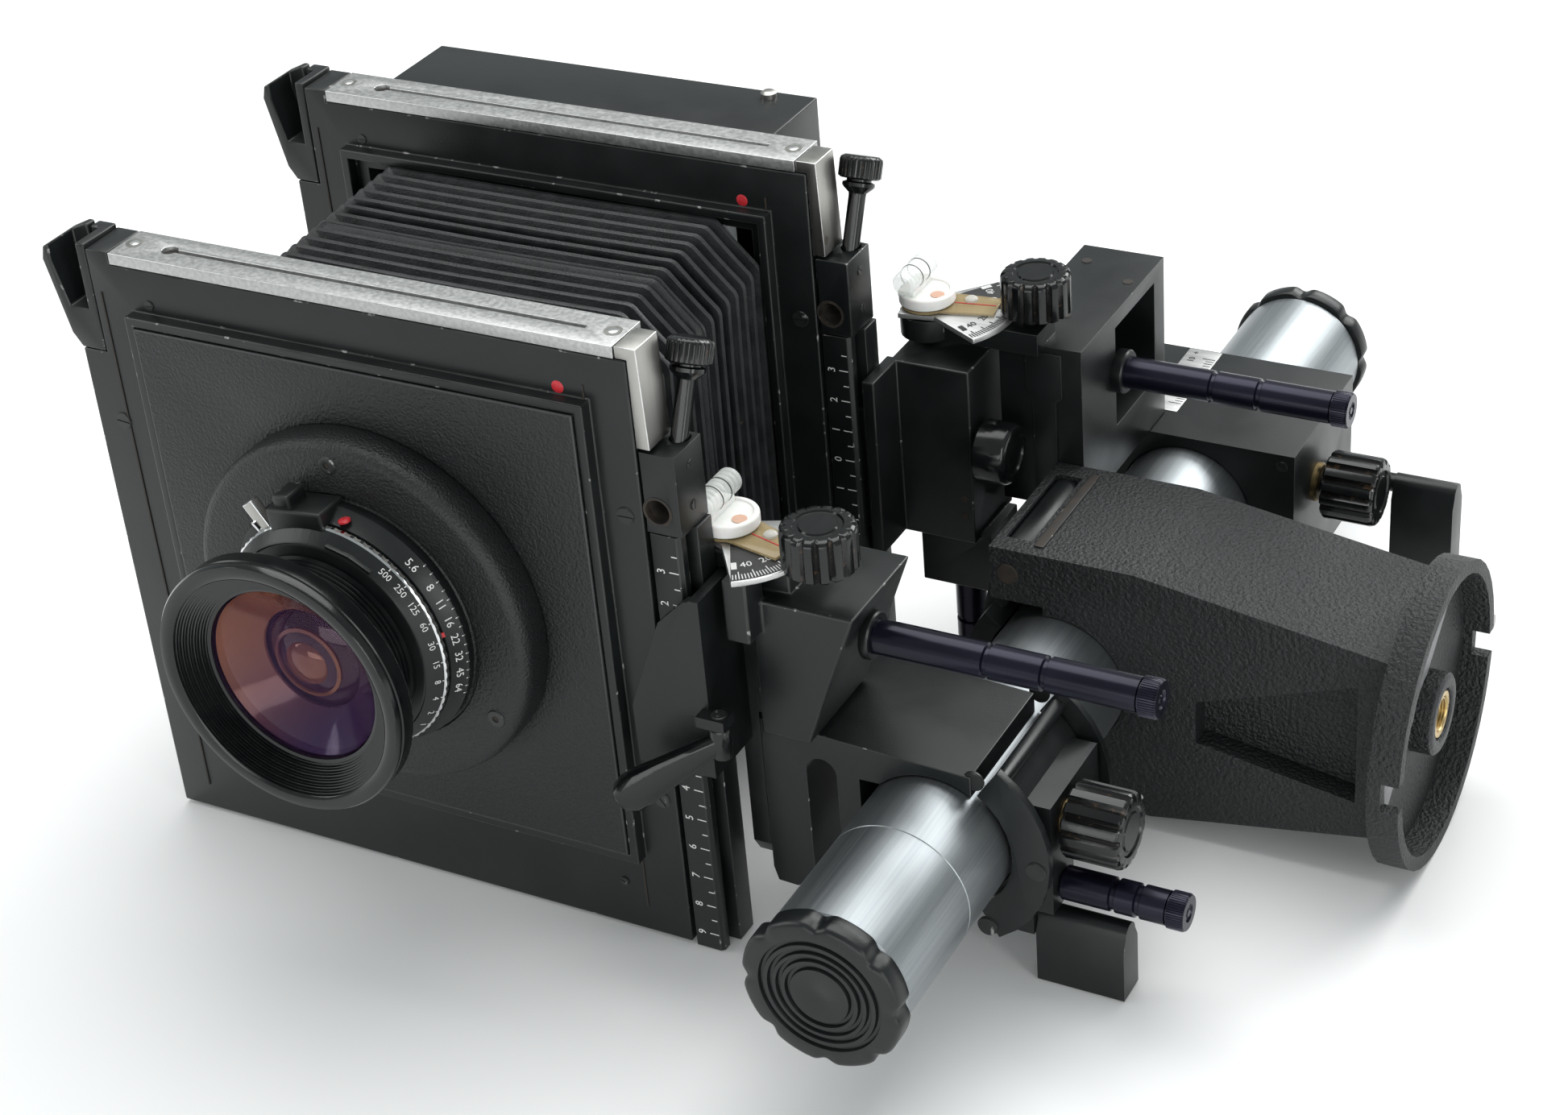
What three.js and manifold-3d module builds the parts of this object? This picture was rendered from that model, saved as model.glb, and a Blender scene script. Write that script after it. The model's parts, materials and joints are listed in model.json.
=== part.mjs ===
// Monorail view camera, lying on the side of its frames, built as separate parts. Millimetres, +Z up.
// Design frame: lens axis at x = 0, z = 0, lens board face at y = 0, film side towards +Y,
// and the rail runs along Y on the +X side. The outer group moves this to the bottom centre.
import * as THREE from 'three';
import { mergeVertices } from 'three/addons/utils/BufferGeometryUtils.js';
import Module from 'manifold-3d';

const wasm = await Module();
wasm.setup();

// ---------------------------------------------------------------- driving dimensions
const GAP = 0.3; // clearance between touching pieces
const FLOOR = -100.5; // height of the surface that the camera lies on

const RAIL = { x: 155.4, z: -54.9, r: 21, bore: 18.5, front: -43, rear: 308 };
const CLAMP = { front: 100, rear: 150, flangeY: 125, flangeZ: -56, flangeR: 44.5, faceX: 263 };
const HINGE = { x: 141.5, z: -22, r: 2.3 };

const FRAME = {
  left: -94, right: 85, bottom: -99.5, top: 86, front: 4.7, back: 19.2, window: 66, board: 70,
};
const STANDARDS = {
  front: { frameX: 0, frameY: -2, frameZ: 0, pivot: [96.5, 26], plateTop: 26.6, fan: -16 },
  rear: { frameX: -8.2, frameY: 112.1, frameZ: -1, pivot: [95.2, 151.3], plateTop: 31, fan: 9 },
};
const PIVOT_TO_KNOB = 33; // from the tilt axis to the big lock knob
const KNOB_R = 10.3;
const DRIVE_R = 4.8; // long drive tubes
const SLAB_T = 10; // thickness of the slab lock levers

// ---------------------------------------------------------------- materials
function material(color, roughness, metalness) {
  return new THREE.MeshStandardMaterial({ color, roughness, metalness });
}
const SATIN_BLACK = material(0x23282a, 0.45, 0.2);
const GLOSS_BLACK = material(0x0c0d0e, 0.2, 0);
const CRINKLE_BLACK = material(0x2b2e30, 0.85, 0.1);
const BELLOWS_BLACK = material(0x17191a, 0.7, 0);
const ANODISED = material(0x14161f, 0.3, 0.7);
const ALUMINIUM = material(0xb9bcbd, 0.35, 0.9);
const STEEL = material(0x9a9c9b, 0.35, 0.9);
const CHROME = material(0xd0d2d4, 0.12, 1);
const BRASS = material(0xb08d4a, 0.35, 0.9);
const WHITE_PLASTIC = material(0xeeeeea, 0.5, 0);
const CLEAR_PLASTIC = material(0xdfe4dc, 0.1, 0);
const AMBER_PLASTIC = material(0xa68b55, 0.25, 0);
const GLASS = material(0x3a2140, 0.05, 0.1);
const GREY_PLATE = material(0x9b9d9f, 0.6, 0.1);

// ---------------------------------------------------------------- solids
function solidOf(geometry) {
  const bare = geometry.clone();
  bare.deleteAttribute('normal');
  bare.deleteAttribute('uv');
  const merged = mergeVertices(bare, 1e-4);
  return new wasm.Manifold(new wasm.Mesh({
    numProp: 3,
    vertProperties: Float32Array.from(merged.attributes.position.array),
    triVerts: Uint32Array.from(merged.index.array),
  }));
}

function meshOf(name, solid, look) {
  const { vertProperties, triVerts } = solid.getMesh();
  const geometry = new THREE.BufferGeometry();
  geometry.setAttribute('position', new THREE.BufferAttribute(vertProperties, 3));
  geometry.setIndex(new THREE.BufferAttribute(triVerts, 1));
  geometry.computeVertexNormals();
  const mesh = new THREE.Mesh(geometry, look);
  mesh.name = name;
  return mesh;
}

function join(...solids) {
  return solids.reduce((all, next) => all.add(next));
}

function cut(body, ...tools) {
  return tools.reduce((left, tool) => left.subtract(tool), body);
}

function box(x0, x1, y0, y1, z0, z1) {
  const geometry = new THREE.BoxGeometry(x1 - x0, y1 - y0, z1 - z0);
  geometry.translate((x0 + x1) / 2, (y0 + y1) / 2, (z0 + z1) / 2);
  return solidOf(geometry);
}

// An outline pushed along an axis: x takes [y, z] points, y takes [x, z], z takes [x, y].
const PUSH_BASIS = {
  x: new THREE.Matrix4().makeBasis(
    new THREE.Vector3(0, 1, 0), new THREE.Vector3(0, 0, 1), new THREE.Vector3(1, 0, 0)),
  y: new THREE.Matrix4().makeBasis(
    new THREE.Vector3(1, 0, 0), new THREE.Vector3(0, 0, 1), new THREE.Vector3(0, -1, 0)),
  z: new THREE.Matrix4(),
};
const PUSH_SHIFT = {
  x: (from, to) => [from, 0, 0],
  y: (from, to) => [0, to, 0],
  z: (from, to) => [0, 0, from],
};

function prism(axis, outline, from, to) {
  const shape = new THREE.Shape(outline.map(([a, b]) => new THREE.Vector2(a, b)));
  const geometry = new THREE.ExtrudeGeometry(shape, { depth: to - from, bevelEnabled: false });
  geometry.applyMatrix4(PUSH_BASIS[axis]);
  geometry.translate(...PUSH_SHIFT[axis](from, to));
  return solidOf(geometry);
}

// An arc as a list of points, in degrees, counter-clockwise from the first axis.
function arc(a, b, radius, start, end, steps) {
  return Array.from({ length: steps + 1 }, (_, i) => {
    const angle = THREE.MathUtils.degToRad(start + (end - start) * i / steps);
    return [a + radius * Math.cos(angle), b + radius * Math.sin(angle)];
  });
}

function rod(axis, a, b, radius, from, to, sides = 20) {
  return prism(axis, arc(a, b, radius, 0, 360, sides).slice(0, -1), from, to);
}

function ring(axis, a, b, outer, inner, from, to, sides = 32) {
  return cut(rod(axis, a, b, outer, from, to, sides), rod(axis, a, b, inner, from - 1, to + 1, sides));
}

// A knob with shallow flutes all round.
function flutedKnob(axis, a, b, radius, from, to, flutes = 14, depth = 0.9) {
  const outline = [];
  for (let i = 0; i < flutes; i += 1) {
    const pitch = 360 / flutes;
    outline.push(...arc(a, b, radius, i * pitch, (i + 0.55) * pitch, 1));
    outline.push(...arc(a, b, radius - depth, (i + 0.7) * pitch, (i + 0.85) * pitch, 1));
  }
  return prism(axis, outline, from, to);
}

// ---------------------------------------------------------------- rail and its clamp
function scallopedCap(y0, y1, plugTo) {
  const lobes = 8;
  const outline = Array.from({ length: lobes * 6 }, (_, i) => {
    const angle = 2 * Math.PI * i / (lobes * 6);
    const radius = 22.6 - 1.5 * Math.max(0, Math.cos(lobes * angle)) ** 3;
    return [RAIL.x + radius * Math.cos(angle), RAIL.z + radius * Math.sin(angle)];
  });
  const plug = rod('y', RAIL.x, RAIL.z, RAIL.bore - GAP, Math.min(y0, plugTo), Math.max(y1, plugTo), 24);
  return join(prism('y', outline, y0, y1), plug);
}

function railParts() {
  const tube = ring('y', RAIL.x, RAIL.z, RAIL.r, RAIL.bore, RAIL.front, RAIL.rear, 48);
  return [
    meshOf('rail_tube', tube, ALUMINIUM),
    meshOf('rail_cap_front', scallopedCap(RAIL.front - 7, RAIL.front - GAP, RAIL.front + 6), SATIN_BLACK),
    meshOf('rail_cap_rear', scallopedCap(RAIL.rear + GAP, RAIL.rear + 7, RAIL.rear - 6), SATIN_BLACK),
  ];
}

function clampBody() {
  const { front, rear, flangeY, flangeZ, flangeR, faceX } = CLAMP;
  const arm = prism('y', [
    [136, -31], [152, -31], [152, -94], [184, -96], [256, -84], [256, -25.7], [180, -13.8], [136, -13.8],
  ], front, rear);
  const flange = rod('x', flangeY, flangeZ, flangeR, 254, faceX, 40);
  const boss = rod('x', flangeY, flangeZ, 12, 250, faceX - 2, 24);
  const bore = rod('y', RAIL.x, RAIL.z, RAIL.r + GAP, front - 1, rear + 1, 48);
  const knuckleRoom = join(
    rod('y', HINGE.x, HINGE.z, 7.6, front + 6.5, rear - 6.5, 20),
    box(130, HINGE.x, front + 6.5, rear - 6.5, -40, -15.5),
    box(138.5, 146.5, front + 6.5, rear - 6.5, -20, -10),
  );
  const pinHole = rod('y', HINGE.x, HINGE.z, HINGE.r + GAP, front - 1, rear + 1, 16);
  const pocket = prism('y', [[198, -52], [245, -35], [245, -74], [198, -66]], front - 1, front + 8);
  const dish = cut(rod('x', flangeY, flangeZ, flangeR - 4, 255, faceX + 1, 40), boss);
  const bushHole = rod('x', flangeY, flangeZ, 7.3, 248, faceX + 1, 20);
  const screwSlot = box(151, 170, 118, 132, -92, -79);
  const solid = cut(join(arm, flange, boss), bore, knuckleRoom, pinHole, pocket, dish, bushHole, screwSlot);
  return meshOf('clamp_body', solid, CRINKLE_BLACK);
}

function clampParts() {
  const { front, rear, flangeY, flangeZ, flangeR } = CLAMP;
  const shell = prism('y', [
    ...arc(RAIL.x, RAIL.z, RAIL.r + 7, 140, 258, 14),
    ...arc(RAIL.x, RAIL.z, RAIL.r + 2 * GAP, 258, 140, 14),
  ], front, rear);
  const knuckle = rod('y', HINGE.x, HINGE.z, 7, front + 7, rear - 7, 20);
  const strap = prism('y', [[134.5, -22], [141, -29], [137.5, -38], [129.5, -44]], front + 7, rear - 7);
  const lug = box(134, 151.4, 110, 140, -93, -80.5);
  const railRoom = rod('y', RAIL.x, RAIL.z, RAIL.r + 2 * GAP, front - 1, rear + 1, 48);
  const pinHole = rod('y', HINGE.x, HINGE.z, HINGE.r + GAP, front, rear, 16);
  const screwHole = rod('x', flangeY, -86, 3.3, 130, 155, 16);
  const jaw = cut(join(shell, knuckle, strap, lug), railRoom, pinHole, screwHole);
  const screw = join(
    flutedKnob('x', flangeY, -86, 8, 120, 133.7, 10),
    rod('x', flangeY, -86, 3, 133, 160, 16),
  );
  const plate = prism('x', arc(flangeY, flangeZ, flangeR - 4.6, 50, 200, 12), 255 + GAP, 256.8);
  const bush = ring('x', flangeY, flangeZ, 7, 4.8, 249, CLAMP.faceX - 1.6, 20);
  return [
    clampBody(),
    meshOf('clamp_jaw', jaw, SATIN_BLACK),
    meshOf('clamp_hinge_pin', rod('y', HINGE.x, HINGE.z, HINGE.r, front + 0.5, rear - 0.5, 16), STEEL),
    meshOf('clamp_screw', screw, GLOSS_BLACK),
    meshOf('clamp_end_plate', cut(plate, rod('x', flangeY, flangeZ, 12.4, 250, 260, 24)), GREY_PLATE),
    meshOf('tripod_bush', bush, BRASS),
  ];
}

// ---------------------------------------------------------------- format frames
function frameBody() {
  const f = FRAME;
  const plate = box(f.left, f.right, f.front, f.back, f.bottom, f.top);
  const ledge = box(-73, 73, 0.6, f.front, -73, 73);
  const corner = box(-85.7, -78.2, f.front, f.back, f.top - 1, 89.7);
  const window = box(-f.window, f.window, 0, 25, -f.window, f.window);
  const recess = box(-f.board - GAP, f.board + GAP, 0, f.front, -f.board - GAP, f.board + GAP);
  const catchRoom = box(f.left - 1, -85.7, 0, 25, 57.7, f.top + 1);
  return cut(join(plate, ledge, corner), window, recess, catchRoom);
}

function topBar() {
  const top = FRAME.top + 3.7;
  const bar = box(-77.8, 81.6, FRAME.front, FRAME.back, FRAME.top + GAP, top);
  const groove = box(-62, 70, 11.2, 12.8, top - 2, top + 1);
  const keyhole = rod('z', -62, 12, 2.4, top - 2, top + 1, 16);
  return cut(bar, groove, keyhole);
}

function cornerCatch() {
  const body = prism('y', [
    [-94.2, 58], [-97, 62], [-102, 84], [-101, 88], [-95, 90.8], [-86, 90.8], [-86, 58],
  ], FRAME.front, FRAME.back);
  const pocket = prism('y', [[-95.5, 70.5], [-89, 70.5], [-89, 95], [-99, 92], [-99, 84]], 0, 15.5);
  const notch = prism('y', [[-94.2, 95], [-92.6, 84], [-91.4, 95]], 15, 25);
  return cut(body, pocket, notch);
}

function scaleBar(bottom) {
  const profile = [
    [86.3, 5], [94, 5], [95, 6], [95, 8.5], [89, 8.5], [89, 11.5], [96.8, 11.5], [96.8, 19], [86.3, 19],
  ];
  return prism('z', profile, bottom, 36);
}

// Work that belongs to the leaning thumb screw, made upright and then leaned back about its foot.
const THUMB = { x: 92, y: 15.5, z: 60, lean: 24, length: 26 };

function leaned(solid) {
  return solid.translate([-THUMB.x, -THUMB.y, -THUMB.z]).rotate([-THUMB.lean, 0, 0])
    .translate([THUMB.x, THUMB.y, THUMB.z]);
}

function thumbScrew() {
  const { x, y, z, length } = THUMB;
  const stem = rod('z', x, y, 2.5, z - 8, z + length - 6, 16);
  const collar = rod('z', x, y, 4.6, z + length - 9.5, z + length - 6, 16);
  const knob = flutedKnob('z', x, y, 6.2, z + length - 7, z + length, 12, 0.4);
  return leaned(join(stem, collar, knob));
}

function socketBlock() {
  const body = box(85.8, 96, 5, 19, 36.4, THUMB.z);
  const stemHole = leaned(rod('z', THUMB.x, THUMB.y, 2.9, THUMB.z - 8.5, THUMB.z + 6, 16));
  return cut(body, rod('y', 89.5, 43, 3.6, 0, 12, 16), stemHole);
}

function frameParts(side, bottom) {
  const { frameX, frameY, frameZ } = STANDARDS[side];
  const cheek = prism('y', [
    [85.3, 61], [89.2, 61], [88.2, 89.7], [82, 89.7], [82, 86.3], [85.3, 86.3],
  ], 5, 16);
  const group = new THREE.Group();
  group.add(
    meshOf(`${side}_frame`, frameBody(), SATIN_BLACK),
    meshOf(`${side}_top_bar`, topBar(), ALUMINIUM),
    meshOf(`${side}_catch`, cornerCatch(), SATIN_BLACK),
    meshOf(`${side}_cheek_plate`, cheek, STEEL),
    meshOf(`${side}_scale_bar`, scaleBar(bottom), SATIN_BLACK),
    meshOf(`${side}_socket_block`, socketBlock(), SATIN_BLACK),
    meshOf(`${side}_thumb_screw`, thumbScrew(), GLOSS_BLACK),
  );
  group.position.set(frameX, frameY, frameZ);
  return group;
}

// ---------------------------------------------------------------- lens, in the front frame
function frontElement() {
  const dome = [[0, -47.5], [12, -46.7], [20, -44.9], [25.6, -42.5], [25.6, -41.3], [0, -41.3]];
  return solidOf(new THREE.LatheGeometry(dome.map(([r, y]) => new THREE.Vector2(r, y)), 32));
}

function lensParts() {
  const half = FRAME.board;
  const board = cut(
    box(-half, half, 0, FRAME.front - GAP, -half, half), rod('y', 0, 0, 30, -1, 6, 40));
  const disc = cut(rod('y', 0, 0, 53.5, -11.4, -GAP, 48), rod('y', 0, 0, 22, -20, 6, 32));
  const shutter = cut(
    join(rod('y', 0, 0, 31, -26, -11.7, 40), rod('y', 0, 0, 21.6, -12, 3, 32)),
    rod('y', 0, 0, 17, -30, 6, 32));
  const barrel = cut(
    join(rod('y', 0, 0, 28, -40, -26.3, 40), rod('y', 0, 0, 38, -50, -39, 48)),
    rod('y', 0, 0, 33, -51, -46, 40), rod('y', 0, 0, 26, -52, -41, 40), rod('y', 0, 0, 17, -42, -20, 32));
  const lever = cut(
    join(rod('y', 0, 0, 33.4, -19.5, -16.5, 40), box(-2, 2, -19.5, -16.5, 32, 43).rotate([0, -35, 0])),
    rod('y', 0, 0, 31.3, -20, -16, 40));
  const group = new THREE.Group();
  group.add(
    meshOf('lens_board', board, SATIN_BLACK),
    meshOf('lens_disc', disc, SATIN_BLACK),
    meshOf('shutter_body', shutter, SATIN_BLACK),
    meshOf('speed_ring', ring('y', 0, 0, 35, 31.3, -26, -20, 40), STEEL),
    meshOf('cocking_lever', lever, CHROME),
    meshOf('lens_barrel', barrel, GLOSS_BLACK),
    meshOf('lens_glass', frontElement(), GLASS),
  );
  group.position.set(0, STANDARDS.front.frameY, 0);
  return group;
}

// ---------------------------------------------------------------- tilt head: scale, pointer, level
function headParts(side) {
  const { pivot, plateTop, fan } = STANDARDS[side];
  const [px, py] = pivot;
  const plateOutline = [[-7, 7.5], [-7, -7.5], [4.3, -7.6], ...arc(0, 0, 27, -45, 45, 14), [4.3, 7.6]];
  const plate = cut(prism('z', plateOutline, plateTop - 1.6, plateTop), rod('z', 0, 0, 2.4, 0, 60, 16));
  const tongue = [...arc(0, 0, 8, 50, 310, 12), [21.5, -5], [21.5, 5]];
  const pointer = prism('z', tongue, plateTop + GAP, plateTop + 1.1);
  const disc = rod('z', 0, 0, 8.4, plateTop + 1.4, plateTop + 4.9, 28);
  const vial = rod('y', 0, 0, 3.6, -9, 9, 16);
  const atPivot = (solid, degrees) => solid.rotate([0, 0, degrees]).translate([px, py, 0]);
  const knobX = px + PIVOT_TO_KNOB * Math.cos(THREE.MathUtils.degToRad(fan));
  const knobY = py + PIVOT_TO_KNOB * Math.sin(THREE.MathUtils.degToRad(fan));
  const knobBase = side === 'front' ? 15.8 : 29.4;
  const knob = join(
    flutedKnob('z', knobX, knobY, KNOB_R, plateTop + 0.7, plateTop + 13.4, 16),
    rod('z', knobX, knobY, 4, knobBase, plateTop + 1, 16));
  return [
    meshOf(`${side}_scale_plate`, atPivot(plate, fan), ALUMINIUM),
    meshOf(`${side}_pointer`, atPivot(pointer, fan), AMBER_PLASTIC),
    meshOf(`${side}_level_disc`, atPivot(disc, 0), WHITE_PLASTIC),
    meshOf(`${side}_level_vial`, vial.translate([px - 4, py + 1, plateTop + 8.9]), CLEAR_PLASTIC),
    meshOf(`${side}_lock_knob`, knob, GLOSS_BLACK),
  ];
}

// A drive tube along X or Z with a knurled end.
function driveTube(axis, a, b, from, to, end) {
  const [k0, k1] = end === 'high' ? [to - 5, to] : [from, from + 5];
  return join(rod(axis, a, b, DRIVE_R, from, to, 20), rod(axis, a, b, DRIVE_R + 0.5, k0, k1, 24));
}

// A paddle that turns about an X axis at (y, z) on a pin that reaches from pinFrom to its side.
function slabLever(y, z, x0, x1, pinFrom) {
  const half = SLAB_T / 2;
  const outline = [
    ...arc(y, z, 3.4, 0, 180, 8), [y - half, z - 3.5], [y - half, FLOOR + 0.2], [y + half, FLOOR + 0.2],
    [y + half, z - 3.5],
  ];
  return join(prism('x', outline, x0, x1), rod('x', y, z, 3, pinFrom, x0 + 1, 16));
}

// ---------------------------------------------------------------- front standard
const FRONT_SHELF = -27.5; // top of the front base, which the rise block slides on
const FOCUS_R = 10.8;
const PIVOT_PIN_R = 2;

function frontBase() {
  const railRoom = rod('y', RAIL.x, RAIL.z, RAIL.r + 0.4, 0, 80, 48);
  const shelf = prism('y', [[104.7, FRONT_SHELF], [104.7, -40], [167, -40], [167, -30.5]], 18, 60);
  const leg = prism('y', [
    [104.7, -39], [104.7, -78], [106, -82.5], [112, -82.8], [134, -70], [134, -39],
  ], 18, 60);
  const slot = join(box(118, 127, 10, 70, -78, -41), rod('y', 122.5, -41, 4.5, 10, 70, 16));
  return cut(join(shelf, leg), railRoom, slot);
}

function frontJaw() {
  const sector = (inner, outer, start, end, y0, y1) => prism('y', [
    ...arc(RAIL.x, RAIL.z, outer, start, end, 10), ...arc(RAIL.x, RAIL.z, inner, end, start, 10),
  ], y0, y1);
  const rodAngle = THREE.MathUtils.degToRad(50);
  const rodX = RAIL.x + 28 * Math.cos(rodAngle);
  const rodZ = RAIL.z + 28 * Math.sin(rodAngle);
  const body = join(
    sector(RAIL.r, 27, -52, 48, 24, 60),
    box(176, 186, 26, 58, -67, -41),
    box(172, 186, 26, 40, -76.5, -60),
    box(168, 180, 26, 37, -85, -72),
    sector(22.3, 33, -58, 55, 19, 21.5),
    sector(22.3, 33, -58, 55, 60.5, 62.5),
    rod('y', rodX, rodZ, 2.3, 20, 62, 16),
    box(181, 185, 20, 62, -58, -50),
  );
  const railRoom = rod('y', RAIL.x, RAIL.z, RAIL.r + 0.4, 0, 80, 48);
  return cut(body, railRoom, rod('x', 31, -80.5, 3.3, 160, 190, 16));
}

function frontRiseBlock() {
  const [px, py] = STANDARDS.front.pivot;
  const under = STANDARDS.front.plateTop - 1.9;
  const block = prism('y', [[109, FRONT_SHELF + GAP], [123.3, FRONT_SHELF + GAP], [138.8, 15.5], [109, 15.5]],
    12, 46);
  const column = join(rod('z', px, py, 8.4, 10, under, 24), box(px, 118, py - 8.4, py + 8.4, 10, under));
  const bracket = box(105, 112, 5, 14, 6, under);
  const pinHole = rod('z', px, py, PIVOT_PIN_R + 0.4, 0, 40, 16);
  return cut(join(block, column, bracket), pinHole);
}

function frontCarriage() {
  const [px, py] = STANDARDS.front.pivot;
  const wing = prism('y', [
    [77, -18], [88, 11], [96.4, 19.3], [100.8, 20], [100.8, -36], [77.3, -36],
  ], -0.7, 2.4);
  const wall = join(box(97.8, 100.8, -0.7, 16.5, -36, 20), box(97.8, 100.8, 16, 36, -36, 9.5));
  const tongue = box(89.7, 98.5, 6.9, 9.1, -30, 10);
  const block = box(91, 106.5, 20, 36, FRONT_SHELF + 0.6, 9.5);
  const casting = prism('x', [[20, -25], [20, -72], [23, -77], [27, -77], [30, -72], [30, -25]], 98, 103.5);
  const lug = box(99, 107.4, -5, 1, -16.7, -13.4);
  const leverPin = rod('z', 104.6, -2, 1.5, -26, -14, 12);
  const pin = rod('z', px, py, PIVOT_PIN_R, 9, STANDARDS.front.plateTop, 16);
  return join(wing, wall, tongue, block, casting, lug, leverPin, pin);
}

function shiftLever() {
  const hub = new THREE.Vector3(104.6, -2, -21.7);
  const tip = new THREE.Vector3(79, -15, -37);
  const along = tip.clone().sub(hub);
  const reach = along.length();
  const geometry = new THREE.BoxGeometry(5, 8, reach);
  geometry.translate(0, 0, reach / 2);
  const pad = new THREE.BoxGeometry(7, 11, 9);
  pad.translate(0, -2, reach - 6);
  const place = new THREE.Matrix4().lookAt(tip, hub, new THREE.Vector3(0, 0, 1)).setPosition(hub);
  const arm = join(solidOf(geometry.applyMatrix4(place)), solidOf(pad.applyMatrix4(place)));
  const barrel = rod('z', hub.x, hub.y, 2.8, hub.z - 4.7, hub.z + 4.7, 16);
  return cut(join(arm, barrel), rod('z', hub.x, hub.y, 1.8, hub.z - 8, hub.z + 8, 16));
}

function frontStandardParts() {
  const focusKnob = join(flutedKnob('x', 36, -50, FOCUS_R, 188, 205), rod('x', 36, -50, 3, 186.3, 189, 16));
  return [
    meshOf('front_base', frontBase(), SATIN_BLACK),
    meshOf('front_jaw', frontJaw(), SATIN_BLACK),
    meshOf('front_focus_knob', focusKnob, GLOSS_BLACK),
    meshOf('front_swing_drive', driveTube('x', 33, -70, 186.3, 222, 'high'), ANODISED),
    meshOf('front_lock_lever', slabLever(31, -80.5, 180.5, 206, 171), SATIN_BLACK),
    meshOf('front_rise_block', frontRiseBlock(), SATIN_BLACK),
    meshOf('front_rise_drive', driveTube('x', 26.5, 2, 136, 217.5, 'high'), ANODISED),
    meshOf('front_carriage', frontCarriage(), SATIN_BLACK),
    meshOf('front_shift_lever', shiftLever(), GLOSS_BLACK),
    ...headParts('front'),
  ];
}

// ---------------------------------------------------------------- rear standard
const REAR_DECK = -30; // top of the rear base box

function rearRiseBlock() {
  const { pivot: [px, py], plateTop } = STANDARDS.rear;
  const under = plateTop - 1.9;
  const housing = box(118, 144, 150.4, 215, REAR_DECK + GAP, 24);
  const window = box(126, 150, 176, 207, -14, 19);
  const column = rod('z', px, py, 8.4, 22.3, under, 24);
  const arm = box(px, 132, py - 4.5, py + 8.4, 22.3, under);
  const pinHole = rod('z', px, py, PIVOT_PIN_R + 0.4, 0, 60, 16);
  return cut(join(cut(housing, window), column, arm), pinHole);
}

function rearCarriage() {
  const { pivot: [px, py], plateTop } = STANDARDS.rear;
  const block = box(91, 116, 133, 160, -37, 21);
  const side = box(89.2, 93, 118, 135, -37, 21);
  const tongue = box(81.5, 90, 121, 123.2, -30, 10);
  const casting = box(96, 119, 137, 157, -56, -36);
  const pin = rod('z', px, py, PIVOT_PIN_R, 20, plateTop, 16);
  return join(block, side, tongue, casting, pin);
}

function rearStandardParts() {
  const base = cut(
    box(120, 191, 202, 257, -80, REAR_DECK),
    rod('y', RAIL.x, RAIL.z, RAIL.r + 0.4, 190, 270, 48),
    rod('x', 237, -54, 3.3, 180, 200, 16));
  const focusKnob = join(
    flutedKnob('x', 223, -50, FOCUS_R, 195, 212), rod('x', 223, -50, 3, 191.3, 196, 16));
  const clampKnob = join(rod('x', 137, -6, 9.3, 118, 128, 28), rod('x', 137, -6, 3, 116.3, 119, 16));
  return [
    meshOf('rear_base', base, SATIN_BLACK),
    meshOf('rear_focus_knob', focusKnob, GLOSS_BLACK),
    meshOf('rear_lock_lever', slabLever(237, -54, 212.3, 232, 184), SATIN_BLACK),
    meshOf('rear_rise_block', rearRiseBlock(), SATIN_BLACK),
    meshOf('rear_rise_drive', driveTube('x', 178, 4, 144.3, 216, 'high'), ANODISED),
    meshOf('rear_carriage', rearCarriage(), SATIN_BLACK),
    meshOf('rear_clamp_knob', clampKnob, GLOSS_BLACK),
    meshOf('rear_shift_drive', driveTube('z', 107, 147, -95, -56.3, 'low'), ANODISED),
    ...headParts('rear'),
  ];
}

// ---------------------------------------------------------------- film back and bellows
function backParts() {
  const left = -76;
  const right = 56;
  const shell = cut(
    box(left, right, 131.6, 165, -80, 85.4),
    box(left + 2.6, right - 2.6, 137.5, 166, -77.4, 82.8),
    box(-64, 44, 130, 140, -66, 70));
  return [
    meshOf('rear_back', shell, SATIN_BLACK),
    meshOf('ground_glass', box(-70, 50, 137.8, 140, -72, 76), CLEAR_PLASTIC),
  ];
}

function bellows() {
  const start = STANDARDS.front.frameY + FRAME.back + GAP;
  const end = STANDARDS.rear.frameY + FRAME.front - GAP;
  const octagon = (half, bevel) => [
    [half - bevel, -half], [half, bevel - half], [half, half - bevel], [half - bevel, half],
    [bevel - half, half], [-half, half - bevel], [-half, bevel - half], [bevel - half, -half],
  ];
  const tube = cut(prism('y', octagon(69, 11), start, end), prism('y', octagon(61, 9), start - 1, end + 1));
  const slant = STANDARDS.rear.frameX / (end - start);
  const lean = new THREE.Matrix4().set(
    1, slant, 0, -slant * start, 0, 1, 0, 0, 0, 0, 1, 0, 0, 0, 0, 1);
  const mesh = meshOf('bellows', tube, BELLOWS_BLACK);
  mesh.geometry.applyMatrix4(lean);
  return [mesh];
}

// ---------------------------------------------------------------- the whole camera
const camera = new THREE.Group();
camera.add(
  ...railParts(),
  ...clampParts(),
  ...frontStandardParts(),
  frameParts('front', FLOOR),
  lensParts(),
  ...rearStandardParts(),
  frameParts('rear', FLOOR + 1),
  ...backParts(),
  ...bellows(),
);

// Origin at the middle of the footprint, on the surface that the camera lies on.
const bounds = new THREE.Box3().setFromObject(camera, true);
camera.position.set(
  -(bounds.min.x + bounds.max.x) / 2, -(bounds.min.y + bounds.max.y) / 2, -bounds.min.z);
const model = new THREE.Group();
model.add(camera);

export default model;
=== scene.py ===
"""Looks for the monorail view camera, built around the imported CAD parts.

Lengths are in millimetres in the camera's design frame: the lens axis is at x 0 and z 0, the seat
of the lens board is at y 0, the film side is towards +Y and the rail is on the +X side. place()
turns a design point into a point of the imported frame, in metres, from where the lens board is.
"""
import json
import math

import bmesh
import bpy
from mathutils import Matrix, Vector


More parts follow.
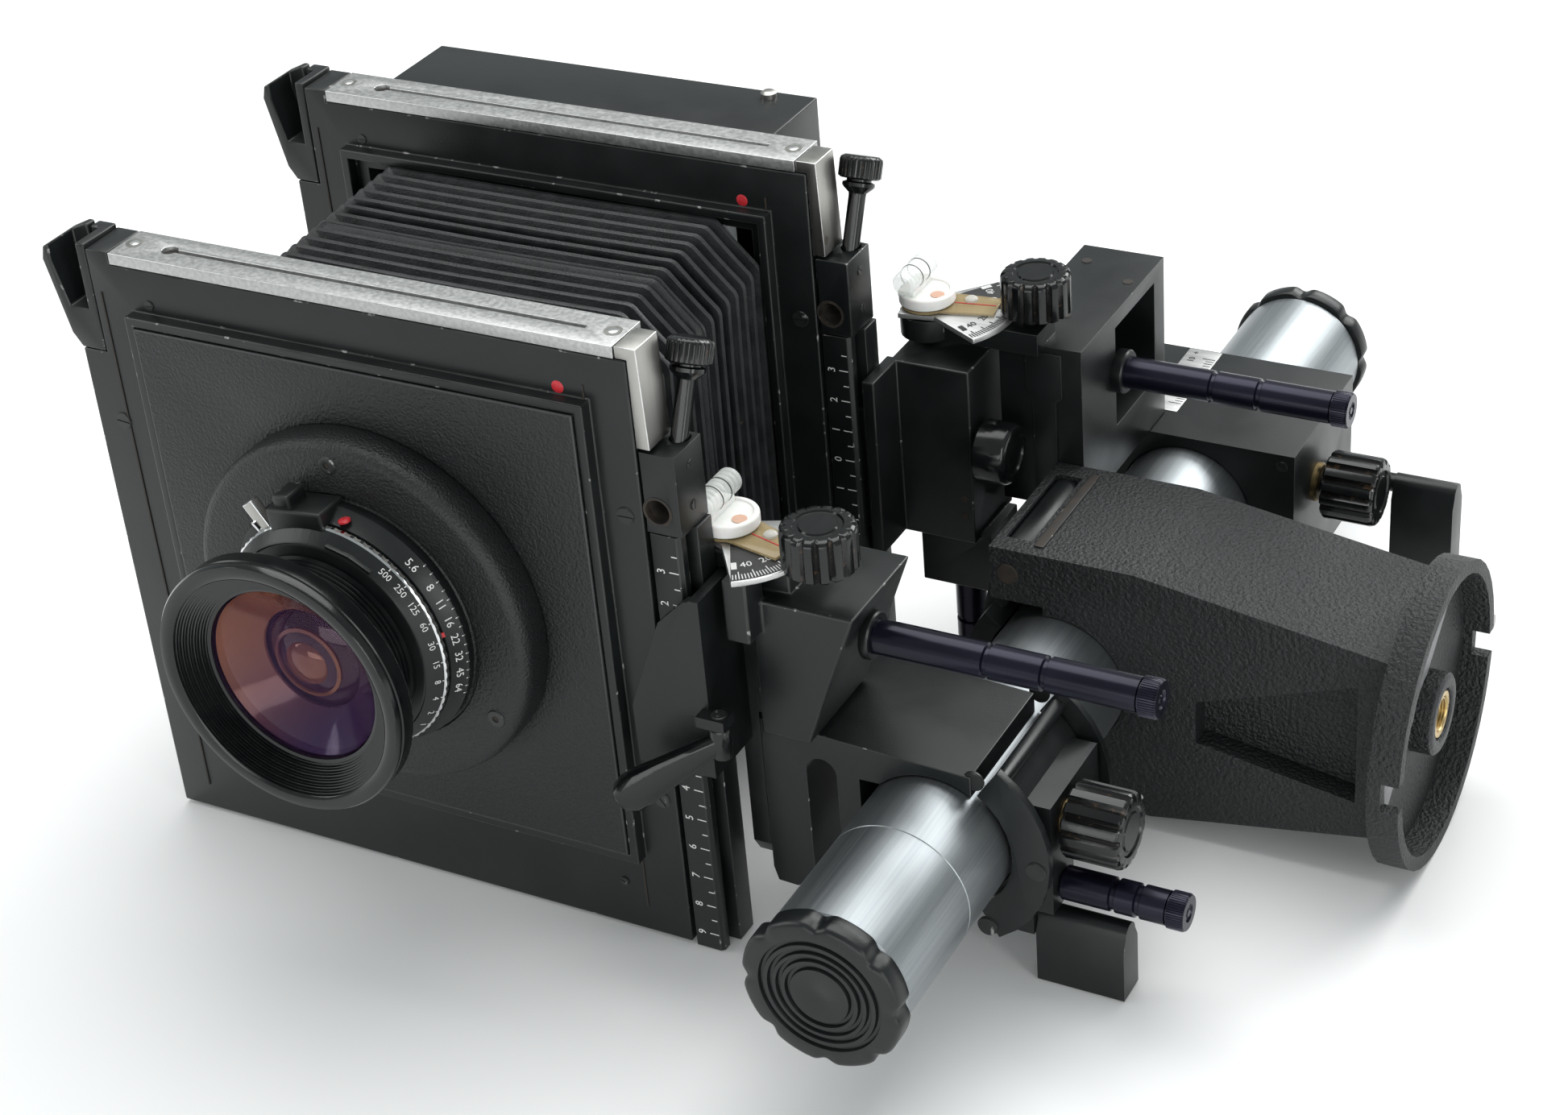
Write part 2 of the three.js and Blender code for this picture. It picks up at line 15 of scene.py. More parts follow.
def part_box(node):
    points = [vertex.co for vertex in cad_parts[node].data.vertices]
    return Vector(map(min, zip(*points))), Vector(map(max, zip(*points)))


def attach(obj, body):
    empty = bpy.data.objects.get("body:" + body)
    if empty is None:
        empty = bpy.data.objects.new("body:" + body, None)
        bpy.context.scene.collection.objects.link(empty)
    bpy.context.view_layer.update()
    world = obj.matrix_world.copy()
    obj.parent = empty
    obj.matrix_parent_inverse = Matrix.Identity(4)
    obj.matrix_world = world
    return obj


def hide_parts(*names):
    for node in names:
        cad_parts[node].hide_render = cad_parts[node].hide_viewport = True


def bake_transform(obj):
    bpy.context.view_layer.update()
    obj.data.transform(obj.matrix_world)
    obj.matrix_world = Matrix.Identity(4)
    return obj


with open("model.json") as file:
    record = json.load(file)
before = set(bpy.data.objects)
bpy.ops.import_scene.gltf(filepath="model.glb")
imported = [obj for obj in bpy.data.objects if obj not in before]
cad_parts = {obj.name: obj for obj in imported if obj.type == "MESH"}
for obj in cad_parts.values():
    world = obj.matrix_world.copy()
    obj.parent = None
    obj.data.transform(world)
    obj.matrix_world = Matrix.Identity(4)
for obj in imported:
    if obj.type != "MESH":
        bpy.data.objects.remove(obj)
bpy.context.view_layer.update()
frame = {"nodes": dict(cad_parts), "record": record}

MM = 0.001
BOARD_LOW, BOARD_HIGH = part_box("lens_board")
BOARD_Y = -2.0  # design height of the board's front face
ORIGIN = Vector((
    (BOARD_LOW.x + BOARD_HIGH.x) / 2,
    BOARD_LOW.y - BOARD_Y * MM,
    (BOARD_LOW.z + BOARD_HIGH.z) / 2,
))
BODY_OF = {n: b for b, group in frame["record"]["behaviour"]["bodies"].items() for n in group}
FRONT = Vector((0, -2, 0))  # where each standard's frame sits in the design frame
REAR = Vector((-8.2, 112.1, -1))
X, Y, Z = Vector((1, 0, 0)), Vector((0, 1, 0)), Vector((0, 0, 1))
AXES = {"x": X, "y": Y, "z": Z}


def place(point):
    return ORIGIN + Vector(point) * MM


# ---------------------------------------------------------------- camera, floor and light
AZIMUTH, ELEVATION, ROLL = math.radians(30.33), math.radians(32.01), math.radians(-5.09)
CAMERA_AT = (445.55, -543.83, 433.47)
FOCAL_LENGTH, SENSOR_WIDTH = 68.19, 36
CLIP_NEAR, CLIP_FAR = 0.01, 20  # metres


def add_camera():
    back = Vector((
        math.sin(AZIMUTH) * math.cos(ELEVATION),
        -math.cos(AZIMUTH) * math.cos(ELEVATION),
        math.sin(ELEVATION),
    ))
    right = Vector((math.cos(AZIMUTH), math.sin(AZIMUTH), 0))
    up = back.cross(right)
    rolled_right = right * math.cos(ROLL) + up * math.sin(ROLL)
    rolled_up = up * math.cos(ROLL) - right * math.sin(ROLL)
    data = bpy.data.cameras.new("photo_camera")
    data.lens = FOCAL_LENGTH
    data.sensor_width = SENSOR_WIDTH
    data.clip_start, data.clip_end = CLIP_NEAR, CLIP_FAR
    camera = bpy.data.objects.new("photo_camera", data)
    turn = Matrix((rolled_right, rolled_up, back)).transposed().to_4x4()
    camera.matrix_world = Matrix.Translation(place(CAMERA_AT)) @ turn
    bpy.context.scene.collection.objects.link(camera)
    bpy.context.scene.camera = camera


AIM = Vector((0, 0, 0.08))  # the middle of the part, in metres, where every light points
LIGHTS = (  # name, place and size in metres, watts
    ("top_softbox", (-0.1, 0.35, 1.5), (1.6, 1.3), 21),
    ("left_softbox", (-1.5, -0.7, 0.9), (0.9, 0.9), 7),
    ("back_softbox", (0.5, 1.6, 1.1), (1.4, 0.8), 22),
    ("right_strip", (1.5, -0.9, 0.5), (0.4, 1.2), 7),
    ("front_fill", (0.5, -2.0, 0.45), (2.2, 0.7), 13),
)
FLOOR_REACH, FLOOR_Z = 6.0, -0.0003  # metres


def soft_light(name, at, size, watts):
    data = bpy.data.lights.new(name, "AREA")
    data.shape = "RECTANGLE"
    data.size, data.size_y = size
    data.energy = watts
    light = bpy.data.objects.new(name, data)
    light.location = at
    light.rotation_mode = "QUATERNION"
    light.rotation_quaternion = (AIM - Vector(at)).to_track_quat("-Z", "Y")
    bpy.context.scene.collection.objects.link(light)


def add_studio():
    mesh = bpy.data.meshes.new("floor")
    corners = [(a * FLOOR_REACH, b * FLOOR_REACH, FLOOR_Z) for a, b in ((-1, -1), (1, -1), (1, 1), (-1, 1))]
    mesh.from_pydata(corners, [], [(0, 1, 2, 3)])
    floor = bpy.data.objects.new("floor", mesh)
    bpy.context.scene.collection.objects.link(floor)
    paper = bpy.data.materials.new("paper_floor")
    paper.use_nodes = True
    shader = paper.node_tree.nodes["Principled BSDF"]
    shader.inputs["Base Color"].default_value = (0.9, 0.9, 0.9, 1)
    shader.inputs["Roughness"].default_value = 0.9
    mesh.materials.append(paper)
    world = bpy.data.worlds.new("studio")
    world.use_nodes = True
    background = world.node_tree.nodes["Background"]
    background.inputs["Color"].default_value = (0.93, 1, 1, 1)
    background.inputs["Strength"].default_value = 0.42
    bpy.context.scene.world = world
    for light in LIGHTS:
        soft_light(*light)
    bpy.context.scene.view_settings.view_transform = "Standard"


# ---------------------------------------------------------------- materials
LOOKS = {}
COLOUR_DRIFT, ROUGH_DRIFT = (0.35, 0.65), (0.3, 0.7)  # noise levels that start and end a change
SPOT_FADE = 0.06
MIX_A, MIX_B, MIX_RESULT = 6, 7, 2  # the colour sockets of a Mix node


def node(tree, kind, **values):
    made = tree.nodes.new(kind)
    for key, value in values.items():
        if key in made.inputs:
            made.inputs[key].default_value = value
        else:
            setattr(made, key, value)
    return made


def noise(tree, source, scale, detail=3.0, stretch=None):
    texture = node(tree, "ShaderNodeTexNoise", Scale=scale, Detail=detail)
    if stretch:
        mapping = tree.nodes.new("ShaderNodeMapping")
        mapping.inputs["Scale"].default_value = stretch
        tree.links.new(source, mapping.inputs["Vector"])
        source = mapping.outputs["Vector"]
    tree.links.new(source, texture.inputs["Vector"])
    return texture.outputs["Fac"]


def ramp(tree, source, low, high, colours):
    made = tree.nodes.new("ShaderNodeValToRGB")
    first, last = made.color_ramp.elements
    first.position, last.position = low, high
    first.color, last.color = [(*c, 1) for c in colours]
    tree.links.new(source, made.inputs["Fac"])
    return made.outputs["Color"]


def spread(tree, source, low, high, out_low, out_high):
    made = tree.nodes.new("ShaderNodeMapRange")
    for key, value in zip(("From Min", "From Max", "To Min", "To Max"), (low, high, out_low, out_high)):
        made.inputs[key].default_value = value
    tree.links.new(source, made.inputs["Value"])
    return made.outputs["Result"]


def look(name, dark, light, rough, metallic=0.0, mottle=60, grain=None, spots=None, stretch=None,
         **constants):
    """A material that drifts from dark to light. rough is (low, high), grain is (scale, height) in
    1/m and m, and spots is (scale, threshold, colour) for wear, stains or dust."""
    made = bpy.data.materials.new(name)
    made.use_nodes = True
    tree = made.node_tree
    shader = tree.nodes["Principled BSDF"]
    shader.inputs["Metallic"].default_value = metallic
    for key, value in constants.items():
        shader.inputs[key.replace("_", " ")].default_value = value
    where = tree.nodes.new("ShaderNodeTexCoord").outputs["Object"]
    cloud = noise(tree, where, mottle, 4.0, stretch)
    colour = ramp(tree, cloud, *COLOUR_DRIFT, (dark, light))
    if spots:
        scale, threshold, spot_colour = spots
        mask = spread(tree, noise(tree, where, scale, 6.0), threshold, threshold + SPOT_FADE, 0, 1)
        mix = node(tree, "ShaderNodeMix", data_type="RGBA")
        tree.links.new(mask, mix.inputs["Factor"])
        tree.links.new(colour, mix.inputs[MIX_A])
        mix.inputs[MIX_B].default_value = (*spot_colour, 1)
        colour = mix.outputs[MIX_RESULT]
    tree.links.new(colour, shader.inputs["Base Color"])
    tree.links.new(spread(tree, cloud, *ROUGH_DRIFT, *rough), shader.inputs["Roughness"])
    if grain:
        scale, height = grain
        bump = tree.nodes.new("ShaderNodeBump")
        bump.inputs["Distance"].default_value = height
        bump.inputs["Strength"].default_value = 1.0
        tree.links.new(noise(tree, where, scale, 2.0, stretch), bump.inputs["Height"])
        tree.links.new(bump.outputs["Normal"], shader.inputs["Normal"])
    LOOKS[name] = made
    return made


BLACK = (0.0055, 0.0068, 0.0072)
BARE = (0.30, 0.30, 0.29)
BROWN = (0.05, 0.032, 0.02)

look("satin_black", BLACK, (0.0085, 0.0103, 0.0107), (0.3, 0.4), grain=(1900, 0.00003),
     Specular_IOR_Level=0.4)
look("satin_edge", (0.012, 0.0135, 0.0138), (0.03, 0.031, 0.03), (0.28, 0.4), 0.2, mottle=70,
     spots=(300, 0.635, BARE))
look("pebble_black", (0.0062, 0.0069, 0.0074), (0.0085, 0.0094, 0.0098), (0.4, 0.5), mottle=25,
     grain=(1300, 0.00035), Specular_IOR_Level=0.45)
look("pebble_edge", (0.028, 0.03, 0.031), (0.036, 0.038, 0.039), (0.35, 0.45), grain=(1500, 0.0001))
look("crinkle_black", (0.008, 0.0092, 0.0098), (0.0115, 0.013, 0.0138), (0.5, 0.64), mottle=30,
     grain=(900, 0.0009), Specular_IOR_Level=0.45)
look("crinkle_edge", (0.013, 0.0145, 0.0158), (0.02, 0.0215, 0.023), (0.46, 0.6), grain=(900, 0.0007))
look("gloss_black", (0.004, 0.0045, 0.005), (0.006, 0.0068, 0.007), (0.14, 0.22), mottle=200,
     grain=(900, 0.00002), Specular_IOR_Level=0.45)
look("gloss_worn", (0.007, 0.007, 0.007), (0.012, 0.011, 0.01), (0.2, 0.32), mottle=260,
     spots=(330, 0.6, BROWN))
look("anodised", (0.006, 0.006, 0.014), (0.012, 0.012, 0.026), (0.2, 0.28), 0.55, mottle=120,
     stretch=(0.15, 1, 1), grain=(1500, 0.00001))
look("anodised_edge", (0.03, 0.03, 0.05), (0.05, 0.05, 0.075), (0.2, 0.35), 0.6)
look("bar_silver", (0.4, 0.405, 0.4), (0.52, 0.525, 0.52), (0.4, 0.5), 1.0, mottle=800,
     grain=(2600, 0.00004))
look("bar_edge", (0.62, 0.62, 0.61), (0.75, 0.75, 0.74), (0.25, 0.35), 1.0, mottle=300)
look("rail_silver", (0.3, 0.325, 0.34), (0.35, 0.375, 0.385), (0.4, 0.44), 1.0, mottle=1500,
     stretch=(1, 0.015, 1), grain=(2500, 0.00001))
look("steel", (0.34, 0.335, 0.31), (0.46, 0.455, 0.43), (0.28, 0.42), 1.0, mottle=110,
     spots=(75, 0.64, (0.16, 0.12, 0.08)), stretch=(1, 1, 0.12), grain=(900, 0.00001))
look("plate_silver", (0.5, 0.505, 0.5), (0.6, 0.6, 0.59), (0.35, 0.45), 0.85, mottle=500,
     stretch=(0.1, 1, 1), grain=(2200, 0.00001))
look("chrome", (0.62, 0.63, 0.64), (0.72, 0.73, 0.74), (0.08, 0.16), 1.0)
look("brass", (0.42, 0.31, 0.13), (0.56, 0.42, 0.2), (0.25, 0.4), 1.0, mottle=300)
look("dirty_brass", (0.09, 0.07, 0.035), (0.3, 0.22, 0.1), (0.35, 0.6), 0.8, mottle=420)
look("white_plastic", (0.76, 0.76, 0.73), (0.84, 0.84, 0.82), (0.38, 0.5), mottle=160,
     grain=(1200, 0.00001), Subsurface_Weight=0.15, Subsurface_Scale=0.002)
look("pink_spot", (0.6, 0.36, 0.26), (0.68, 0.44, 0.33), (0.4, 0.5))
look("white_ink", (0.6, 0.61, 0.6), (0.72, 0.72, 0.7), (0.5, 0.6), mottle=900)
look("black_ink", (0.012, 0.012, 0.013), (0.02, 0.02, 0.02), (0.45, 0.55), mottle=900)
look("red_ink", (0.45, 0.012, 0.02), (0.55, 0.03, 0.04), (0.35, 0.5), mottle=900)
look("grey_plate", (0.17, 0.175, 0.18), (0.23, 0.235, 0.24), (0.5, 0.62), mottle=300,
     grain=(900, 0.00002))
look("bellows_black", (0.007, 0.008, 0.009), (0.013, 0.0142, 0.015), (0.42, 0.56), mottle=260,
     grain=(1700, 0.0001))
look("bellows_ridge", (0.012, 0.013, 0.0142), (0.022, 0.024, 0.0255), (0.4, 0.52), mottle=180,
     spots=(160, 0.715, (0.11, 0.08, 0.045)), grain=(1500, 0.00012))
look("clear_plastic", (0.8, 0.84, 0.8), (0.9, 0.92, 0.9), (0.04, 0.08), grain=(350, 0.00004), Alpha=0.42,
     IOR=1.5)
look("amber_plastic", (0.4, 0.3, 0.15), (0.5, 0.39, 0.2), (0.08, 0.14), Alpha=0.55, IOR=1.5)
look("ground_glass", (0.5, 0.52, 0.53), (0.58, 0.6, 0.61), (0.45, 0.6), grain=(4000, 0.00003),
     Transmission_Weight=0.45)
# painted shade: matt dark brown for grooves, holes, sockets and gaps, where shade falls
look("hollow_shade", (0.012, 0.01, 0.008), (0.03, 0.022, 0.015), (0.6, 0.8), mottle=300)
look("glass_front", (0.02, 0.008, 0.03), (0.03, 0.012, 0.045), (0.02, 0.04), Alpha=0.22,
     IOR=1.4, Specular_Tint=(0.6, 0.35, 0.75, 1))


SATIN = ("satin_black", "satin_edge")  # faces, then worn edges
GLOSS = ("gloss_black", "gloss_worn")
# painted reflection: the warm and cool glints of the coated lens glass, laid into the base colour as a fixed
# gradient
REFLECTION_BASE = (0.05, 0.02, 0.02)
REFLECTION_SLOPE = (20, 0, -24)  # 1/m
REFLECTION_SPAN = (-0.75, 0.7)
REFLECTION_TURN = (0.1, 0.9)


def coating(name, warm, cool, rough):
    """Painted reflection of the lens coating: a colour that turns from warm at the upper left to cool at the
    lower right, fixed on the surface whatever the light.
    """
    made = look(name, REFLECTION_BASE, REFLECTION_BASE, (rough, rough + 0.04), 0.35, Coat_Weight=0.5,
                Coat_Roughness=0.03)
    tree = made.node_tree
    shader = tree.nodes["Principled BSDF"]
    where = tree.nodes.new("ShaderNodeTexCoord").outputs["Object"]
    slope = node(tree, "ShaderNodeVectorMath", operation="DOT_PRODUCT")
    slope.inputs[1].default_value = REFLECTION_SLOPE
    shifted = node(tree, "ShaderNodeVectorMath", operation="SUBTRACT")
    shifted.inputs[1].default_value = place((0, 0, 0))
    tree.links.new(where, shifted.inputs[0])
    tree.links.new(shifted.outputs[0], slope.inputs[0])
    share = spread(tree, slope.outputs["Value"], *REFLECTION_SPAN, 0, 1)
    blend = ramp(tree, share, *REFLECTION_TURN, (warm, cool))
    tree.links.new(blend, shader.inputs["Base Color"])


coating("coat_reflection_outer", (0.34, 0.11, 0.03), (0.035, 0.008, 0.07), 0.12)
coating("coat_reflection_inner", (0.05, 0.012, 0.03), (0.05, 0.014, 0.02), 0.05)
coating("coat_reflection_small", (0.2, 0.07, 0.1), (0.4, 0.15, 0.03), 0.05)


# ---------------------------------------------------------------- mesh helpers
SHARP = math.radians(38)
BEVEL_FROM = math.radians(28)
WELD = 1e-6
NEARLY_FLAT = math.radians(0.6)


def publish(name, mesh, looks, body, stands_for=None):
    """A finished piece. One that stands for a CAD node hides that node."""
    for each in looks:
        mesh.materials.append(LOOKS[each])
    mesh.shade_smooth()
    mesh.set_sharp_from_angle(angle=SHARP)
    piece = bpy.data.objects.new(name, mesh)
    bpy.context.scene.collection.objects.link(piece)
    if body:
        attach(piece, body)
    if stands_for:
        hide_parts(stands_for)
    return piece


def round_edges(shape, width, segments=2):
    """Rounds the sharp edges of a bmesh and gives the rounding the second material."""
    if width <= 0:
        return
    sharp = [e for e in shape.edges if len(e.link_faces) == 2 and e.calc_face_angle(0) > BEVEL_FROM]
    bmesh.ops.bevel(shape, geom=sharp, offset=width * MM, segments=segments, profile=0.6, affect="EDGES",
                    clamp_overlap=True, material=1)


def finished(name, shape, looks, body, bevel, stands_for=None, segments=2):
    bmesh.ops.recalc_face_normals(shape, faces=shape.faces)
    round_edges(shape, bevel, segments=segments)
    mesh = bpy.data.meshes.new(name)
    shape.to_mesh(mesh)
    shape.free()
    return publish(name, mesh, looks, body, stands_for)


def carved(mesh, boxes):
    """A copy of a mesh with design-frame boxes cut out of it."""
    body = bpy.data.objects.new("carving", mesh.copy())
    bpy.context.scene.collection.objects.link(body)
    cutters = []
    for x0, x1, y0, y1, z0, z1 in boxes:
        shape = bmesh.new()
        add_prism(shape, "z", rectangle(x0, x1, y0, y1), z0, z1)
        bmesh.ops.recalc_face_normals(shape, faces=shape.faces)
        cutter_mesh = bpy.data.meshes.new("cutter")
        shape.to_mesh(cutter_mesh)
        shape.free()
        cutter = bpy.data.objects.new("cutter", cutter_mesh)
        bpy.context.scene.collection.objects.link(cutter)
        cut = body.modifiers.new("cut", "BOOLEAN")
        cut.operation, cut.solver, cut.object = "DIFFERENCE", "EXACT", cutter
        cutters.append(cutter)
    bpy.context.view_layer.update()
    made = bpy.data.meshes.new_from_object(body.evaluated_get(bpy.context.evaluated_depsgraph_get()))
    for each in (body, *cutters):
        bpy.data.objects.remove(each)
    return made


def skin(cad_node, looks, bevel=0.35, segments=2, notches=()):
    """The CAD node's own shape with its sharp edges rounded and worn."""
    shape = bmesh.new()
    source = frame["nodes"][cad_node].data
    if notches:
        welded = bmesh.new()
        welded.from_mesh(source)
        bmesh.ops.remove_doubles(welded, verts=welded.verts, dist=WELD)
        source = bpy.data.meshes.new("welded")
        welded.to_mesh(source)
        welded.free()
        source = carved(source, notches)
    shape.from_mesh(source)
    for face in shape.faces:
        face.material_index = 0
    bmesh.ops.remove_doubles(shape, verts=shape.verts, dist=WELD)
    bmesh.ops.dissolve_limit(shape, angle_limit=NEARLY_FLAT, verts=shape.verts, edges=shape.edges)
    return finished(cad_node + "_shape", shape, looks, BODY_OF[cad_node], bevel, cad_node, segments)


def outline_points(axis, outline, depth):
    """Design points of an outline pushed along an axis: x takes (y, z), y takes (x, z), z takes (x, y)."""
    if axis == "x":
        return [Vector((depth, a, b)) for a, b in outline]
    if axis == "y":
        return [Vector((a, depth, b)) for a, b in outline]
    return [Vector((a, b, depth)) for a, b in outline]


def add_prism(shape, axis, outline, start, stop, turn=None):
    rings = []
    for depth in (start, stop):
        points = outline_points(axis, outline, depth)
        if turn:
            points = [turn @ p for p in points]
        rings.append([shape.verts.new(place(p)) for p in points])
    shape.faces.new(rings[0])
    shape.faces.new(rings[1])
    count = len(outline)
    for i in range(count):
        j = (i + 1) % count
        shape.faces.new((rings[0][i], rings[0][j], rings[1][j], rings[1][i]))


def prism(name, axis, outline, start, stop, looks, body, bevel):
    shape = bmesh.new()
    add_prism(shape, axis, outline, start, stop)
    return finished(name, shape, looks, body, bevel)


def rectangle(a0, a1, b0, b1):
    return [(a0, b0), (a1, b0), (a1, b1), (a0, b1)]


def arc(a, b, radius, start, end, steps):
    return [
        (a + radius * math.cos(math.radians(start + (end - start) * i / steps)),
         b + radius * math.sin(math.radians(start + (end - start) * i / steps)))
        for i in range(steps + 1)
    ]


def basis(axis):
    along = AXES[axis].copy() if isinstance(axis, str) else Vector(axis).normalized()
    first = (X if abs(along.x) < 0.7 else Y).cross(along).normalized()
    return along, first, along.cross(first)


def add_spun(shape, axis, centre, profile, segments=96, flute=None):
    """Turns a profile of (radius, along[, flute share[, material]]) about an axis through centre. A
    profile that starts off the axis is a closed loop."""
    along, first, second = basis(axis)
    centre = Vector(centre)
    rings = []
    for entry in profile:
        radius, offset = entry[:2]
        share = entry[2] if len(entry) > 2 else 0
        if radius == 0:
            rings.append([shape.verts.new(place(centre + along * offset))])
            continue
        ring = []
        for i in range(segments):
            angle = 2 * math.pi * i / segments
            reach = radius - (share * flute(angle) if flute else 0)
            side = first * math.cos(angle) + second * math.sin(angle)
            ring.append(shape.verts.new(place(centre + along * offset + side * reach)))
        rings.append(ring)
    pairs = list(zip(range(len(rings) - 1), range(1, len(rings))))
    if profile[0][0] > 0:
        pairs.append((len(rings) - 1, 0))
    for low, high in pairs:
        material = profile[low][3] if len(profile[low]) > 3 else 0
        share = min((profile[k][2] if len(profile[k]) > 2 else 0) for k in (low, high))
        for i in range(segments):
            j = (i + 1) % segments
            corners = [rings[low][i], rings[low][j]] if len(rings[low]) > 1 else [rings[low][0]]
            corners += [rings[high][j], rings[high][i]] if len(rings[high]) > 1 else [rings[high][0]]
            face = shape.faces.new(corners)
            deep = flute and share > 0.5 and flute(2 * math.pi * (i + 0.5) / segments) > 0.45 * flute.depth
            face.material_index = 1 if deep else material


def spun(name, axis, centre, profile, looks, body, segments=96, flute=None,
         stands_for=None):
    shape = bmesh.new()
    add_spun(shape, axis, centre, profile, segments, flute)
    return finished(name, shape, looks, body, 0, stands_for)


class Flute:
    """How deep a knob's flutes cut in at an angle."""

    def __init__(self, count, depth, power):
        self.count, self.depth, self.power = count, depth, power

    def __call__(self, angle):
        return self.depth * max(0.0, math.cos(self.count * angle)) ** self.power


def add_text(shape, words, size, at, right, up, lift=0.05):
    """Raised generic numerals, centred at a design point."""
    curve = bpy.data.curves.new("numeral", "FONT")
    curve.body = words
    curve.size = size * MM
    curve.align_x = curve.align_y = "CENTER"
    curve.extrude = lift * MM / 2
    curve.resolution_u = 2
    holder = bpy.data.objects.new("numeral", curve)
    right, up = Vector(right).normalized(), Vector(up).normalized()
    turn = Matrix((right, up, right.cross(up))).transposed().to_4x4()
    mesh = bpy.data.meshes.new_from_object(holder)
    mesh.transform(Matrix.Translation(place(at)) @ turn)
    shape.from_mesh(mesh)
    bpy.data.objects.remove(holder)
    bpy.data.curves.remove(curve)
    bpy.data.meshes.remove(mesh)


def add_bar(shape, at, long, wide, length, width, lift=0.05):
    """A thin raised mark: a box centred at a design point, length along long and width along wide."""
    at, long, wide = Vector(at), Vector(long).normalized(), Vector(wide).normalized()
    out = long.cross(wide)
    corners = []
    for depth in (-lift / 2, lift / 2):
        for a, b in ((-1, -1), (1, -1), (1, 1), (-1, 1)):
            corners.append(shape.verts.new(place(
                at + long * (a * length / 2) + wide * (b * width / 2) + out * depth)))
    for quad in ((0, 1, 2, 3), (7, 6, 5, 4), (0, 4, 5, 1), (1, 5, 6, 2), (2, 6, 7, 3), (3, 7, 4, 0)):
        shape.faces.new([corners[k] for k in quad])


def marks(name, shape, looks, body):
    return finished(name, shape, looks, body, 0)


SCREW_SINK = 0.4  # how deep a head's disc goes into its seat
SLOT_SHARE, HEAD_SHARE, CROWN_SHARE = 0.13, 0.96, 0.93


def screw(name, at, axis, radius, look_name, body, slot_turn=30, lift=0.5, slotted=True):
    """A flat screw head: a disc, with two half discs on it and a slot left between them."""
    along, first, second = basis(axis)
    angle = math.radians(slot_turn)
    u = first * math.cos(angle) + second * math.sin(angle)
    v = along.cross(u)
    at = Vector(at)
    shape = bmesh.new()
    seat = lift * 0.3
    add_spun(shape, axis, at, [(0, -SCREW_SINK), (radius, -SCREW_SINK), (radius, seat), (0, seat)], 32)
    rim = radius * HEAD_SHARE
    for side in (1, -1) if slotted else (1,):
        if slotted:
            start = math.asin(radius * SLOT_SHARE / radius)
            steps = 14
            flat = [(rim * math.cos(start + (math.pi - 2 * start) * i / steps),
                     side * rim * math.sin(start + (math.pi - 2 * start) * i / steps))
                    for i in range(steps + 1)]
        else:
            flat = [(rim * math.cos(math.tau * i / 32), rim * math.sin(math.tau * i / 32)) for i in range(32)]
        low = [shape.verts.new(place(at + u * a + v * b)) for a, b in flat]
        high = [shape.verts.new(place(at + u * a * CROWN_SHARE + v * b * CROWN_SHARE + along * lift))
                for a, b in flat]
        shape.faces.new(low)
        shape.faces.new(high)
        for i in range(len(flat)):
            j = (i + 1) % len(flat)
            shape.faces.new((low[i], low[j], high[j], high[i]))
    return finished(name, shape, (look_name,), body, 0)


# ---------------------------------------------------------------- rail, caps and tripod clamp
RAIL_X, RAIL_Z, RAIL_R = 155.4, -54.9, 21
RAIL_FRONT, RAIL_REAR = -43, 308
RAIL_BORE, RAIL_LIP = 18.5, 20.4
SCRIBE_Y, SCRIBE_R = -5, RAIL_R - 0.18  # a fine line turned round the rail
CLAMP_Y0, CLAMP_Y1 = 100, 150
FLANGE = Vector((263, 125, -56))
HINGE = Vector((141.5, 0, -22))
RIM_NOTCHES = ((258, 265, 163, 172, -62, -54), (258, 265, 78, 87, -60, -51))


def add_rail():
    hollow = [(RAIL_BORE, RAIL_FRONT), (RAIL_LIP, RAIL_FRONT), (RAIL_R, RAIL_FRONT + 0.6),
              (RAIL_R, SCRIBE_Y - 0.35), (SCRIBE_R, SCRIBE_Y - 0.12), (SCRIBE_R, SCRIBE_Y + 0.12),
              (RAIL_R, SCRIBE_Y + 0.35), (RAIL_R, RAIL_REAR - 0.6), (RAIL_LIP, RAIL_REAR),
              (RAIL_BORE, RAIL_REAR)]
    spun("rail_skin", "y", (RAIL_X, 0, RAIL_Z), hollow, ("rail_silver",), "rail", 144,
         stands_for="rail_tube")
    rim = Flute(8, 1.5, 3)
    for side, inner, outer, plug in (("front", RAIL_FRONT - 0.3, RAIL_FRONT - 7, RAIL_FRONT + 6),
                                     ("rear", RAIL_REAR + 0.3, RAIL_REAR + 7, RAIL_REAR - 6)):
        step = 1 if outer > inner else -1
        profile = [(0, plug), (18.2, plug), (18.2, inner), (22.3, inner, 1), (22.6, inner + step * 0.4, 1),
                   (22.6, outer - step * 1.6, 1), (22.2, outer - step * 0.6, 1), (21.2, outer, 1)]
        for groove in (16.6, 14.0, 11.6, 9.0):
            profile += [(groove + 0.75, outer), (groove + 0.4, outer - step * 0.9),
                        (groove - 0.4, outer - step * 0.9), (groove - 0.75, outer)]
        profile += [(2.4, outer), (2.0, outer - step * 0.15), (0, outer - step * 0.15)]
        shape = bmesh.new()
        add_spun(shape, "y", (RAIL_X, 0, RAIL_Z), profile, 192, rim)
        for face in shape.faces:
            face.material_index = 0
        finished(f"rail_cap_{side}_skin", shape, ("satin_black",), "rail", 0, f"rail_cap_{side}")


